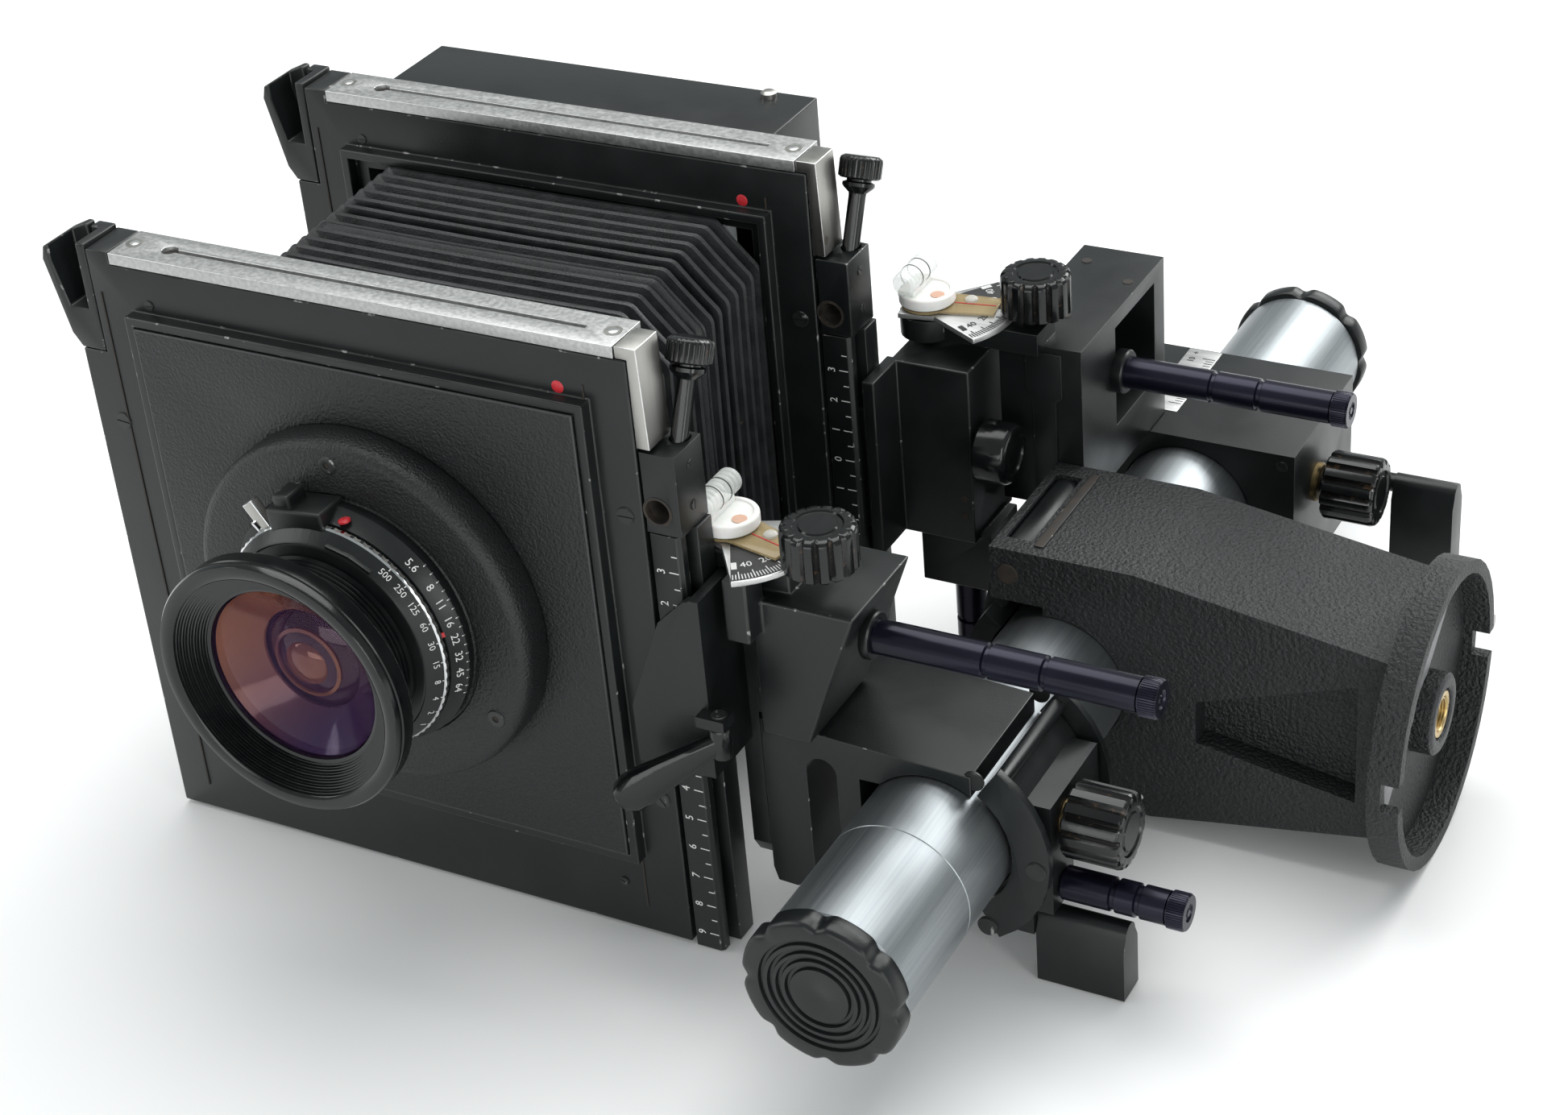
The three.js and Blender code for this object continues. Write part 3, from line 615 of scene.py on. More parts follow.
def add_clamp():
    skin("clamp_body", ("crinkle_black", "crinkle_edge"), 1.1, 3, RIM_NOTCHES)
    skin("clamp_jaw", SATIN, 0.5)
    flange_axis = (0, FLANGE.y, FLANGE.z)
    bush = [(4.8, 249), (5.0, 260.9), (5.4, 261.4), (6.7, 261.4), (7.0, 261.0), (7.0, 249)]
    spun("clamp_bush_skin", "x", flange_axis, bush, ("brass",), "rail", 48, stands_for="tripod_bush")
    pitch = 0.8
    threads = []
    for i in range(14):
        threads += [(4.75, 250.2 + i * pitch), (4.35, 250.6 + i * pitch)]
    threads += [(4.79, 261.0), (4.79, 250.0)]
    spun("clamp_bush_thread", "x", flange_axis, threads, ("brass",), "rail", 48)
    skin("clamp_end_plate", ("grey_plate", "grey_plate"), 0.3)
    screw("clamp_rivet_rear", (261.6, 169.6, -52.7), X, 2.6, "steel", "rail", slotted=False, lift=1.2)
    # painted shade: dark discs round the hinge pin's ends
    for side, y, axis in (("front", CLAMP_Y0 + 0.1, -Y), ("rear", CLAMP_Y1 - 0.1, Y)):
        screw(f"clamp_hinge_{side}", (HINGE.x, y, HINGE.z), axis, 3.4, "hollow_shade", "rail", slotted=False)
    spun("clamp_pin_skin", "y", (HINGE.x, 0, HINGE.z), [(0, 100.4), (2.1, 100.4), (2.3, 100.7), (2.3, 149.3),
         (2.1, 149.6), (0, 149.6)], ("steel",), "rail", 32, stands_for="clamp_hinge_pin")
    # painted shade: a dark strip in the gap along the clamp's edge
    prism("clamp_edge_gap_shade", "z", rectangle(148.2, 151.2, CLAMP_Y0 + 4, CLAMP_Y1 - 4), -13.9, -13.2,
          ("hollow_shade", "satin_edge"), "rail", 0.25)
    boss = [(7.4, 260.2), (7.6, 261.6), (8.2, 262.0), (11.0, 262.0), (11.9, 261.3), (11.9, 258.5),
            (7.4, 258.5)]
    spun("clamp_boss_ring", "x", flange_axis, boss, ("crinkle_edge",), "rail", 64)
    knob("clamp_screw_skin", "x", (0, 125, -86), 133.7, 120, 8, 10, 0.9, "clamp_screw_body", "clamp_screw",
         pin=(3, 160))


def knob(name, axis, centre, base, top, radius, flutes, depth, body, stands_for, pin):
    """A fluted plastic knob from base to top along an axis, with a raised ring round its end. pin is
    the radius of its shaft and where that starts."""
    step = 1 if top > base else -1
    pin_r, pin_from = pin
    profile = [(0, pin_from), (pin_r - 0.3, pin_from), (pin_r, pin_from + step * 0.3), (pin_r, base),
               (radius * 0.72, base), (radius * 0.8, base + step * 0.2),
               (radius - 0.5, base + step * 0.3, 1), (radius, base + step * 0.9, 1),
               (radius, top - step * 1.6, 1), (radius - 0.3, top - step * 0.7, 1),
               (radius - 1.0, top - step * 0.15, 0.9), (radius - 1.9, top, 0),
               (radius * 0.66, top), (radius * 0.62, top - step * 0.5), (radius * 0.52, top - step * 0.55),
               (radius * 0.48, top - step * 0.1), (0, top - step * 0.05)]
    spun(name, axis, centre, profile, GLOSS, body, max(160, flutes * 12), Flute(flutes, depth, 1.3),
         stands_for=stands_for)


# ---------------------------------------------------------------- format frames
BAR_TOP = 89.7
FRAME_FACE, SCALE_FACE = 4.7, 5
TICK_PITCH = 5


def add_format_frame(side, at):
    body = f"{side}_frame_body"
    ox, oy, oz = at
    skin(f"{side}_frame", SATIN, 0.45)
    skin(f"{side}_catch", SATIN, 0.5)
    skin(f"{side}_scale_bar", SATIN, 0.25)
    skin(f"{side}_socket_block", SATIN, 0.4)
    skin(f"{side}_top_bar", ("bar_silver", "bar_edge"), 0.3)
    skin(f"{side}_cheek_plate", ("steel", "bar_edge"), 0.2)
    top = BAR_TOP + oz
    groove = top - 1.98
    # painted shade: a dark sheet in the top bar's groove and a dark tube in its keyhole
    prism(f"{side}_groove_shade", "z", rectangle(-61.8 + ox, 69.9 + ox, 11.3 + oy,
          12.7 + oy), groove, top - 1.3, ("hollow_shade", "hollow_shade"), body, 0)
    keyhole = [(0, groove), (2.3, groove), (2.3, top - 1.2), (0, top - 1.2)]
    spun(f"{side}_keyhole_shade", "z", (-62 + ox, 12 + oy, 0), keyhole, ("hollow_shade",), body, 32)
    for name, x in (("left", -74.3), ("right", 77.7)):
        rivet_ring = [(1.6, top - 0.1), (2.5, top - 0.1), (2.5, top + 0.12), (1.6, top + 0.12)]
        rivet = [(0, top - 0.1), (1.55, top - 0.1), (1.5, top + 0.15), (0.9, top + 0.32), (0, top + 0.36)]
        centre = (x + ox, 12.3 + oy, 0)
        spun(f"{side}_bar_rivet_ring_{name}", "z", centre, rivet_ring, ("steel",), body, 32)
        spun(f"{side}_bar_rivet_{name}", "z", centre, rivet, ("bar_edge",), body, 32)
    front_y = FRAME_FACE + oy
    for name, x, z, radius in (("upper_right", 79.8, 40, 2.7), ("lower_right", 80.5, -51, 2.7),
                               ("bottom", 64.8, -84, 1.5), ("left", -85, 36, 2.7), ("top", -66.7, 75.5, 1.6)):
        screw(f"{side}_screw_{name}", (x + ox, front_y - 0.05, z + oz), -Y, radius, "satin_edge",
              body, slot_turn=35 + 20 * x % 70, lift=0.35)
    dot = [(0, front_y - 0.12), (1.6, front_y - 0.12), (1.8, front_y), (0, front_y)]
    spun(f"{side}_red_dot", "y", (63.9 + ox, 0, 75 + oz), dot, ("red_ink",), body, 32)
    # scale ticks with a generic numeral at every second one
    shape = bmesh.new()
    ink_y = SCALE_FACE + oy - 0.02
    for i in range(-18, 8):
        z = (i - 1) * TICK_PITCH + oz
        long_mark = i % 2 == 0
        shift, reach = (0.5, 2.8) if long_mark else (0, 1.7)
        add_bar(shape, (92.9 + ox - shift, ink_y, z), X, Z, reach, 0.3)
        if long_mark:
            add_text(shape, str(abs(i // 2)), 3.4, (88.6 + ox, ink_y, z), Z, -X)
    marks(f"{side}_bar_marks", shape, ("white_ink",), body)
    # side screws, and painted shade as a dark tube in the hole of the socket block
    for k, z in enumerate((42.5, 54.5)):
        screw(f"{side}_socket_screw_{k}", (96 + ox, 12.5 + oy, z + oz), X, 1.5, "satin_edge",
              body, slot_turn=50 * k, lift=0.3)
    hole = [(2.6, 12), (3.5, 12), (3.5, 4.9), (4.3, 4.9), (4.3, 5.1), (2.6, 9)]
    spun(f"{side}_socket_hole_shade", "y", (89.5 + ox, oy, 43 + oz), hole, ("hollow_shade",), body, 48)
    add_thumb_screw(side, at)
    # painted shade: narrow dark lines down both sides of the front face, where it steps in a rebate
    for name, x in (("left", -83.0), ("right", 71.6)):
        shape = bmesh.new()
        add_bar(shape, (x + ox, front_y - 0.02, -7 + oz), Z, X, 168, 0.5, 0.5)
        marks(f"{side}_rebate_shade_{name}", shape, ("hollow_shade",), body)


THUMB_LEAN = math.radians(24)
THUMB_AXIS = Vector((0, math.sin(THUMB_LEAN), math.cos(THUMB_LEAN)))


def add_thumb_screw(side, at):
    foot = Vector((92, 15.5, 60)) + at
    profile = [(0, -8), (2.5, -8), (2.5, 14.6), (2.6, 15.2), (4.2, 16.6), (4.7, 17.2), (4.7, 18.2),
               (3.6, 18.6), (3.6, 19.2), (5.5, 19.3, 1), (6.2, 19.8, 1), (6.25, 24.4, 1),
               (6.0, 25.2, 0.6), (5.0, 25.9, 0), (3.0, 26.0), (0, 26.0)]
    spun(f"{side}_thumb_screw_skin", THUMB_AXIS, foot, profile, GLOSS, f"{side}_thumb_body", 144,
         Flute(24, 0.28, 1), stands_for=f"{side}_thumb_screw")


# ---------------------------------------------------------------- lens board, shutter and lens
LENS_BODY = "front_frame_body"
CONE_SLOPE, RING_SLOPE = (2.2, 4.1), (2.4, 3.8)  # outward and back along the two scale faces
APERTURES = (("5.6", 45), ("8", 33), ("11", 24.5), ("16", 16), ("22", 7.5), ("32", -1), ("45", -9.5),
             ("64", -18))
SPEEDS = ("500", "250", "125", "60", "30", "15", "8", "4", "2", "1")


def lens_part(name, profile, looks, segments, **rest):
    return spun(name, "y", (0, 0, 0), profile, looks, LENS_BODY, segments, **rest)


def add_lens():
    skin("lens_board", ("pebble_black", "pebble_edge"), 0.4)
    disc = [(22, -2.3), (53.2, -2.3), (53.5, -2.9), (53.5, -9.8), (53.0, -11.6), (51.8, -12.9), (50.2, -13.4),
            (38.6, -13.4), (38.2, -12.9), (37.4, -12.9), (37.0, -13.4), (22, -13.4)]
    lens_part("lens_disc_skin", disc, ("pebble_black",), 192, stands_for="lens_disc")
    for k, angle in enumerate((92, -30, 212)):
        x, z = 47.2 * math.cos(math.radians(angle)), 47.2 * math.sin(math.radians(angle))
        cup = [(1.0, -13.2), (1.0, -13.75), (1.5, -13.85), (2.5, -13.75), (2.8, -13.35), (2.8, -13.2)]
        spun(f"disc_screw_{k}", "y", (x, 0, z), cup, ("satin_edge",), LENS_BODY, 32)
        # painted shade in each screw's socket
        spun(f"disc_screw_socket_shade_{k}", "y", (x, 0, z), [(0, -13.3), (1.1, -13.3), (1.1, -13.42), (0, -13.42)],
             ("hollow_shade",), LENS_BODY, 6)
    add_shutter()
    add_barrel()


def add_shutter():
    case = [(17, 1), (21.6, 1), (21.6, -13.8), (37.2, -13.8), (37.6, -14.4), (37.6, -16.8), (37.1, -17.3),
            (34.9, -21.4), (31, -21.6), (31, -27.6), (30.4, -28), (17, -28)]
    lens_part("shutter_skin", case, ("satin_black",), 160, stands_for="shutter_body")
    notch = Flute(72, 0.3, 0.8)
    ring = [(31.3, -22), (34.4, -22, 0), (34.9, -22.3, 1, 0), (34.9, -23.4, 1, 0), (34.3, -23.8, 0, 2),
            (31.9, -27.6, 0, 2), (31.3, -28, 0, 2)]
    spun("speed_ring_skin", "y", (0, 0, 0), ring, ("chrome", "steel", "satin_black"), "speed_ring_body", 216,
         notch, stands_for="speed_ring")
    shape = bmesh.new()
    for words, angle in APERTURES:
        add_round_text(shape, words, angle, 36.15, -19.2, CONE_SLOPE, 3.2)
    for i in range(-3, 13):
        add_round_tick(shape, -9.5 + i * 4.25, 37.4, -17.0, CONE_SLOPE, 0.9, 0.25)
    marks("aperture_marks", shape, ("white_ink",), LENS_BODY)
    shape = bmesh.new()
    for k, words in enumerate(SPEEDS):
        angle = 50 - 10 * k
        add_round_text(shape, words, angle, 33.25, -25.6, RING_SLOPE, 2.6)
        add_round_tick(shape, angle, 34.25, -24.1, RING_SLOPE, 0.7, 0.3)
    marks("speed_marks", shape, ("white_ink",), "speed_ring_body")
    shape = bmesh.new()
    add_round_tick(shape, 12, 34.7, -21.75, CONE_SLOPE, 1.1, 1.3, lift=0.5)
    marks("shutter_index_red", shape, ("red_ink",), LENS_BODY)
    # the cable socket, flash contact and preset lever boxes on the shutter's upper side
    shape = bmesh.new()
    turn = Matrix.Rotation(math.radians(-6), 4, "Y")
    add_prism(shape, "z", rectangle(-12, 6, -24.5, -13.6), 30.5, 38.6, turn)
    add_prism(shape, "z", rectangle(-9.4, -4.2, -23.5, -15.5), 38.2, 42.4, turn)
    finished("shutter_upper_box", shape, SATIN, LENS_BODY, 0.7)
    spun("shutter_window_dot", (-0.15, 0, 1), (6.6, -20.2, 35.9), [(0, -0.3), (1.7, -0.3), (1.7, 0.25),
         (1.3, 0.5), (0, 0.5)], ("red_ink",), LENS_BODY, 32)
    shape = bmesh.new()
    for angle in (75, 62):
        add_round_tick(shape, angle, 31.6, -24.6, (0, 1), 6.6, 7.5, lift=1.6)
    finished("shutter_selector", shape, SATIN, LENS_BODY, 0.35)
    socket = [(0, 0), (2.4, 0), (2.4, 3.2), (1.9, 3.4), (1.9, 6.2), (1.5, 6.6), (0.9, 6.6), (0.9, 4), (0, 4)]
    spun("release_socket", (-0.62, -0.1, 0.78), (-19.5, -19.5, 24.8), socket, ("chrome",), LENS_BODY, 40)
    for k, angle in enumerate((128, 236)):
        x, z = math.cos(math.radians(angle)), math.sin(math.radians(angle))
        post = [(0, 0), (1.6, 0), (1.6, 3.6), (1.2, 4.2), (0, 4.2)]
        spun(f"shutter_post_{k}", (x, 0, z), (x * 33.5, -19, z * 33.5), post, ("chrome",), LENS_BODY, 32)
    skin("cocking_lever", ("steel", "chrome"), 0.3)


def radial(angle):
    a = math.radians(angle)
    return Vector((math.cos(a), 0, math.sin(a)))


def add_round_text(shape, words, angle, radius, y, slope, size):
    """Text on a cone round the lens axis, its tops outward. slope is (outward, back) along the face."""
    side = radial(angle)
    up = (side * slope[0] + Y * slope[1]).normalized()
    right = Y.cross(side)
    out = right.cross(up)
    add_text(shape, words, size, side * radius + Y * y + out * 0.04, right, up)


def add_round_tick(shape, angle, radius, y, slope, length, width, lift=0.05):
    side = radial(angle)
    up = (side * slope[0] + Y * slope[1]).normalized()
    along = side.cross(Y)
    add_bar(shape, side * radius + Y * y, up, along, length, width, lift)


def add_barrel():
    neck = [(17, -28.3), (26.5, -28.3), (28, -29)]
    for i in range(4):
        y = -30.6 - i * 1.5
        neck += [(28, y), (27.5, y - 0.25), (27.5, y - 0.65), (28, y - 0.9)]
    flare = [(28, -37.6), (30.5, -38.6), (34.5, -41.0), (37.4, -43.4), (38, -44.6), (38, -48.6),
             (37.6, -48.9), (37.6, -49.3), (38, -49.6), (38, -50.9), (37.5, -51.7), (36.4, -52.0),
             (35.2, -51.9), (34.0, -51.6)]
    inner = []
    for i in range(6):
        radius, y = 33.6 - i * 1.15, -51.2 + i * 1.05
        inner += [(radius, y), (radius, y + 0.55), (radius - 0.65, y + 0.55), (radius - 0.65, y + 1.05)]
    cell = [(26.2, -44.6), (26.0, -43.6), (26.0, -42.8), (17, -28.9)]
    lens_part("lens_barrel_skin", neck + flare + inner + cell, ("gloss_black",), 192,
              stands_for="lens_barrel")
    dome = [(0, -49.5)]
    steps = 14
    for i in range(1, steps + 1):
        share = i / steps
        dome.append((25.6 * share, -49.5 + 4.6 * share ** 2.1))
    dome += [(25.9, -44.6), (25.9, -43.4), (25.2, -43.3), (0, -46.2)]
    lens_part("lens_front_element", dome, ("glass_front",), 160, stands_for="lens_glass")
    # the inner cone and elements carry the painted reflection of the lens coating
    outer = [(25.6, -43.2), (24.4, -42.2), (21.5, -39.8), (18.2, -37.4), (15.4, -35.6), (15.2, -35.0),
             (25.6, -42.6)]
    lens_part("lens_inner_cone", outer, ("coat_reflection_outer",), 128)
    middle = [(0, -38.6), (5, -38.2), (10, -36.9), (13.4, -35.2), (15.3, -33.6), (15.3, -33.0), (0, -33.0)]
    lens_part("lens_second_element", middle, ("coat_reflection_inner",), 128)
    ring = [(9.6, -37.7), (10.6, -37.4), (10.6, -36.6), (9.6, -36.6)]
    lens_part("lens_inner_ring", ring, ("coat_reflection_small",), 96)
    small = [(0, -39.9), (3.4, -39.5), (6.2, -38.4), (6.6, -37.8), (0, -37.8)]
    lens_part("lens_third_element", small, ("coat_reflection_small",), 96)


# ---------------------------------------------------------------- tilt heads, scales and levels
HEADS = {
    "front": dict(pivot=(96.5, 26), top=26.6, fan=-16),
    "rear": dict(pivot=(95.2, 151.3), top=31, fan=9),
}
KNOB_REACH = 33
SCALE_INNER, SCALE_OUTER = 8.5, 26.4
INK_LIFT = 0.09


def add_tilt_head(side):
    head = HEADS[side]
    px, py = head["pivot"]
    top, fan = head["top"], head["fan"]
    rise_body, tilt_body = f"{side}_rise_body", f"{side}_tilt_body"
    skin(f"{side}_scale_plate", ("plate_silver", "bar_edge"), 0.2)

    def sector(inner, outer, start, end, steps=18):
        return (arc(px, py, outer, start + fan, end + fan, steps)
                + arc(px, py, inner, end + fan, start + fan, steps))

    def ray(angle):
        direction = math.radians(angle + fan)
        return Vector((math.cos(direction), math.sin(direction), 0))

    dark_span = (-45, -1) if side == "front" else (1, 45)
    prism(f"{side}_scale_dark_half", "z", sector(SCALE_INNER, SCALE_OUTER, *dark_span), top, top + 0.06,
          ("black_ink",), rise_body, 0)
    ink = Vector((px, py, top + INK_LIFT))
    for tone, span in (("white_ink", dark_span), ("black_ink", (-dark_span[1], -dark_span[0]))):
        shape = bmesh.new()
        near = span[0] < 0
        sign = -1 if near else 1
        for k in range(23):
            out = ray(sign * (2 + k * 1.9))
            reach = 3.6 if k % 5 == 0 else 2.3
            add_bar(shape, ink + out * (26.0 - reach / 2), out, Z.cross(out), reach, 0.28, 0.06)
        for words, angle in (("0", 4.5), ("20", 17), ("40", 33)):
            out = ray(sign * angle)
            add_text(shape, words, 3.3, ink + out * 19.4, Z.cross(out), -out, 0.06)
        out = ray(sign * 42.5)
        add_bar(shape, ink + out * 19.4, out, Z.cross(out), 3.2, 1.5, 0.06)
        marks(f"{side}_scale_marks_{'near' if near else 'far'}", shape, (tone,), rise_body)
    skin(f"{side}_pointer", ("amber_plastic", "amber_plastic"), 0.15)
    out = ray(0)
    shape = bmesh.new()
    add_bar(shape, Vector((px, py, top + 1.2)) + out * 14.6, out, Z.cross(out), 12.5, 0.35, 0.1)
    marks(f"{side}_pointer_line", shape, ("red_ink",), tilt_body)
    bump = [(0, 0), (2.0, 0), (1.9, 0.6), (1.3, 1.1), (0, 1.3)]
    spun(f"{side}_pointer_bump", "z", Vector((px, py, top + 1.1)) + out * 12.8 + Z.cross(out) * 2.4, bump,
         ("clear_plastic",), tilt_body, 32)
    disc_low, disc_high = top + 1.4, top + 4.9
    disc = [(0, disc_low), (8.0, disc_low), (8.4, disc_low + 0.4), (8.4, disc_high - 0.6),
            (8.2, disc_high - 0.2), (7.8, disc_high), (6.9, disc_high), (6.7, disc_high - 0.5),
            (0, disc_high - 0.5)]
    spun(f"{side}_level_disc_skin", "z", (px, py, 0), disc, ("white_plastic",), tilt_body, 96,
         stands_for=f"{side}_level_disc")
    spun(f"{side}_level_spot", "z", (px + 4.2, py - 1.6, 0), [(0, disc_high - 0.5), (2.1, disc_high - 0.5),
         (2.1, disc_high - 0.3), (1.6, disc_high - 0.2), (0, disc_high - 0.2)], ("pink_spot",), tilt_body, 32)
    shape = bmesh.new()
    add_prism(shape, "z", rectangle(px - 6.6, px - 1.4, py - 6.2, py + 6.6), disc_high - 0.6, top + 6.3)
    finished(f"{side}_level_saddle", shape, ("white_plastic", "white_plastic"), tilt_body, 0.5)
    vial = [(0, -9), (2.9, -9), (3.3, -8.5)]
    for i in range(9):
        y = -7.6 + i * 1.9
        vial += [(3.6, y - 0.5), (3.6, y + 0.5), (3.3, y + 0.9)]
    vial += [(3.3, 8.6), (2.9, 9), (0, 9)]
    centre = (px - 4, py + 1, top + 8.9)
    spun(f"{side}_vial_skin", "y", centre, vial, ("clear_plastic",), tilt_body, 64,
         stands_for=f"{side}_level_vial")
    for k, y in enumerate((-2.2, 2.4)):
        spun(f"{side}_vial_ring_{k}", "y", centre, [(3.62, y - 0.18), (3.72, y - 0.18), (3.72, y + 0.18),
             (3.62, y + 0.18)], ("black_ink",), tilt_body, 64)
    direction = math.radians(fan)
    kx = px + KNOB_REACH * math.cos(direction)
    ky = py + KNOB_REACH * math.sin(direction)
    knob(f"{side}_lock_knob_skin", "z", (kx, ky, 0), top + 0.7, top + 13.4, 10.3, 16, 1.1,
         f"{side}_lock_knob_body", f"{side}_lock_knob", pin=(4, top - 1.6))


def add_drive(name, axis, centre, start, stop, body):
    """An anodised drive tube with two grooves and a knurled end at stop."""
    step = 1 if stop > start else -1
    span = abs(stop - start)
    radius = 4.8
    profile = [(0, 0), (4.3, 0), (radius, 0.5)]
    for share in (0.42, 0.62):
        at = span * share
        profile += [(radius, at - 0.9), (radius - 0.7, at - 0.5), (radius - 0.7, at + 0.5),
                    (radius, at + 0.9)]
    profile += [(radius, span - 5.6), (radius - 0.5, span - 5.4), (radius - 0.5, span - 5.1),
                (radius + 0.5, span - 4.9, 1), (radius + 0.5, span - 0.7, 1), (radius + 0.1, span, 0),
                (2.6, span), (2.2, span - 0.5), (1.2, span - 0.5), (1.0, span - 0.1), (0, span - 0.1)]
    moved = [(r, start + step * t, *rest) for r, t, *rest in profile]
    spun(f"{name}_skin", axis, centre, moved, ("anodised", "anodised_edge"), body, 192, Flute(48, 0.32, 0.8),
         stands_for=name)


# ---------------------------------------------------------------- standards
def add_rise_collar(side, centre, end):
    rim = [(4.9, 0), (6.4, 0), (6.7, 0.4), (6.7, end - 0.5), (6.3, end), (4.9, end)]
    spun(f"{side}_rise_collar", "x", centre, rim, ("satin_black",), f"{side}_rise_body", 48)


def add_front_standard():
    body = "front_base_body"
    for cad_node in ("front_base", "front_rise_block", "front_carriage"):
        skin(cad_node, SATIN, 0.7, 3)
    skin("front_jaw", SATIN, 0.4)
    skin("front_lock_lever", SATIN, 0.8, 3)
    add_shift_lever()
    knob("front_focus_knob_skin", "x", (0, 36, -50), 188, 205, 10.8, 14, 1.3, "front_focus_knob_body",
         "front_focus_knob", pin=(3, 186.4))
    add_drive("front_swing_drive", "x", (0, 33, -70), 186.4, 222, "front_swing_drive_body")
    add_drive("front_rise_drive", "x", (0, 26.5, 2), 136, 217.5, "front_rise_drive_body")
    for k, (x, z) in enumerate(((167.5, -32), (184.6, -57), (169.6, -80))):
        for face, y, axis in (("front", 19, -Y), ("rear", 62.5, Y)):
            screw(f"front_jaw_rivet_{face}_{k}", (x, y, z), axis, 3.0, "satin_edge", body, slotted=False)
    add_rise_collar("front", (135.4, 26.5, 2), 2.7)
    brass_ring = [(3.1, 186.1), (5.2, 186.1), (5.2, 187.2), (3.1, 187.4)]
    spun("front_focus_collar", "x", (0, 36, -50), brass_ring, ("dirty_brass",), body, 48)
    screw("front_lever_pivot", (104.6, -2, -13.3), Z, 2.3, "satin_edge", "front_tilt_body", slotted=False,
          lift=0.4)


def add_shift_lever():
    """A lever that broadens from its hub to a thumb pad, lofted from rounded sections."""
    hub, tip = Vector((104.6, -2, -21.7)), Vector((78, -15.2, -38.2))
    along = (tip - hub).normalized()
    side = along.cross(Z).normalized()
    rise = side.cross(along)
    shape = bmesh.new()
    around = 20
    sections = ((0.0, 2.6, 2.6, 0), (0.12, 2.7, 3.0, 0), (0.3, 2.5, 3.6, -0.2), (0.55, 2.6, 4.6, -0.5),
                (0.75, 3.2, 5.4, -0.8), (0.88, 3.9, 5.2, -1.0), (0.97, 3.4, 3.8, -0.9), (1.0, 2.2, 2.4, -0.7))
    rings = []
    for share, half_side, half_rise, drop in sections:
        centre = hub + (tip - hub) * share + rise * drop
        ring = []
        for k in range(around):
            angle = math.tau * k / around
            ca, sa = math.cos(angle), math.sin(angle)
            squircle = (abs(ca) ** 4 + abs(sa) ** 4) ** -0.25
            ring.append(shape.verts.new(place(
                centre + side * ca * squircle * half_side + rise * sa * squircle * half_rise)))
        rings.append(ring)
    for low, high in zip(rings, rings[1:]):
        for k in range(around):
            j = (k + 1) % around
            shape.faces.new((low[k], low[j], high[j], high[k]))
    shape.faces.new(rings[0])
    shape.faces.new(rings[-1])
    body = "front_shift_lever_body"
    finished("front_shift_lever_skin", shape, ("gloss_black",), body, 0, "front_shift_lever")
    hub_ring = [(1.8, -4.7), (2.7, -4.7), (3.0, -4.3), (3.0, 4.3), (2.7, 4.7), (1.8, 4.7)]
    spun("front_shift_lever_hub", "z", hub, hub_ring, ("gloss_black",), body, 40)


def add_rear_standard():
    body = "rear_base_body"
    for cad_node in ("rear_base", "rear_rise_block", "rear_carriage"):
        skin(cad_node, SATIN, 0.6, 3)
    skin("rear_lock_lever", SATIN, 0.8, 3)
    knob("rear_focus_knob_skin", "x", (0, 223, -50), 195, 212, 10.8, 14, 1.3, "rear_focus_knob_body",
         "rear_focus_knob", pin=(3, 191.4))
    add_drive("rear_rise_drive", "x", (0, 178, 4), 144.4, 216, "rear_rise_drive_body")
    add_drive("rear_shift_drive", "z", (107, 147, 0), -56.4, -95, "rear_shift_drive_body")
    dial = [(0, 116.4), (2.9, 116.4), (3, 118), (8.9, 118), (9.3, 118.5), (9.3, 126.6), (8.7, 127.6),
            (8, 128), (6.6, 128), (6.3, 127.4), (0, 127.4)]
    spun("rear_clamp_knob_skin", "x", (0, 137, -6), dial, ("gloss_black",), "rear_clamp_knob_body", 96,
         stands_for="rear_clamp_knob")
    # the swing scale on the base's deck
    prism("rear_swing_strip", "z", rectangle(136.5, 147.5, 216, 256.4), -30.02, -29.8,
          ("plate_silver", "bar_edge"), body, 0.08)
    shape = bmesh.new()
    zero_y, ink_z = 236, -29.76
    for i in range(-10, 11):
        reach = 4.2 if i % 5 == 0 else 2.6
        add_bar(shape, (147.0 - reach / 2, zero_y + i * 1.5, ink_z), X, Y, reach, 0.25, 0.06)
    for words, y in (("0", zero_y), ("10", 222.6), ("10", 249.4), ("-", 218.4), ("+", 254)):
        add_text(shape, words, 3.2, (139.6, y, ink_z), Y, -X, 0.06)
    marks("rear_swing_marks", shape, ("black_ink",), body)
    for k, x in enumerate((124, 187)):
        screw(f"rear_base_screw_{k}", (x, 202, -34), -Y, 1.9, "satin_edge", body, slot_turn=60 * k, lift=0.3)
    collar = [(3.1, 191), (6.2, 191), (6.2, 192.2), (5.6, 192.8), (3.1, 193)]
    spun("rear_focus_collar", "x", (0, 223, -50), collar, ("dirty_brass",), body, 48)
    # the T-shaped slide inlay on the housing's front face
    shape = bmesh.new()
    tee = [(126.5, 22), (126.5, 8), (128.5, 6), (128.5, -29), (136, -29), (136, 6), (138, 8), (138, 22)]
    add_prism(shape, "y", tee, 149.7, 150.6)
    finished("rear_housing_tee", shape, SATIN, "rear_rise_body", 0.3)
    # painted shade: dark discs at the screw holes on the housing's top
    for k, (x, y) in enumerate(((140, 196), (123, 205), (131, 170))):
        screw(f"rear_housing_screw_shade_{k}", (x, y, 24), Z, 1.7, "hollow_shade", "rear_rise_body", slotted=False,
              lift=0.2)
    # painted shade at the carriage's set-screw holes
    for k, z in enumerate((-28, -22)):
        screw(f"rear_carriage_set_screw_shade_{k}", (113, 133, z), -Y, 1.1, "hollow_shade", "rear_tilt_body",
              slotted=False, lift=0.2)
    add_rise_collar("rear", (143.7, 178, 4), 3.7)


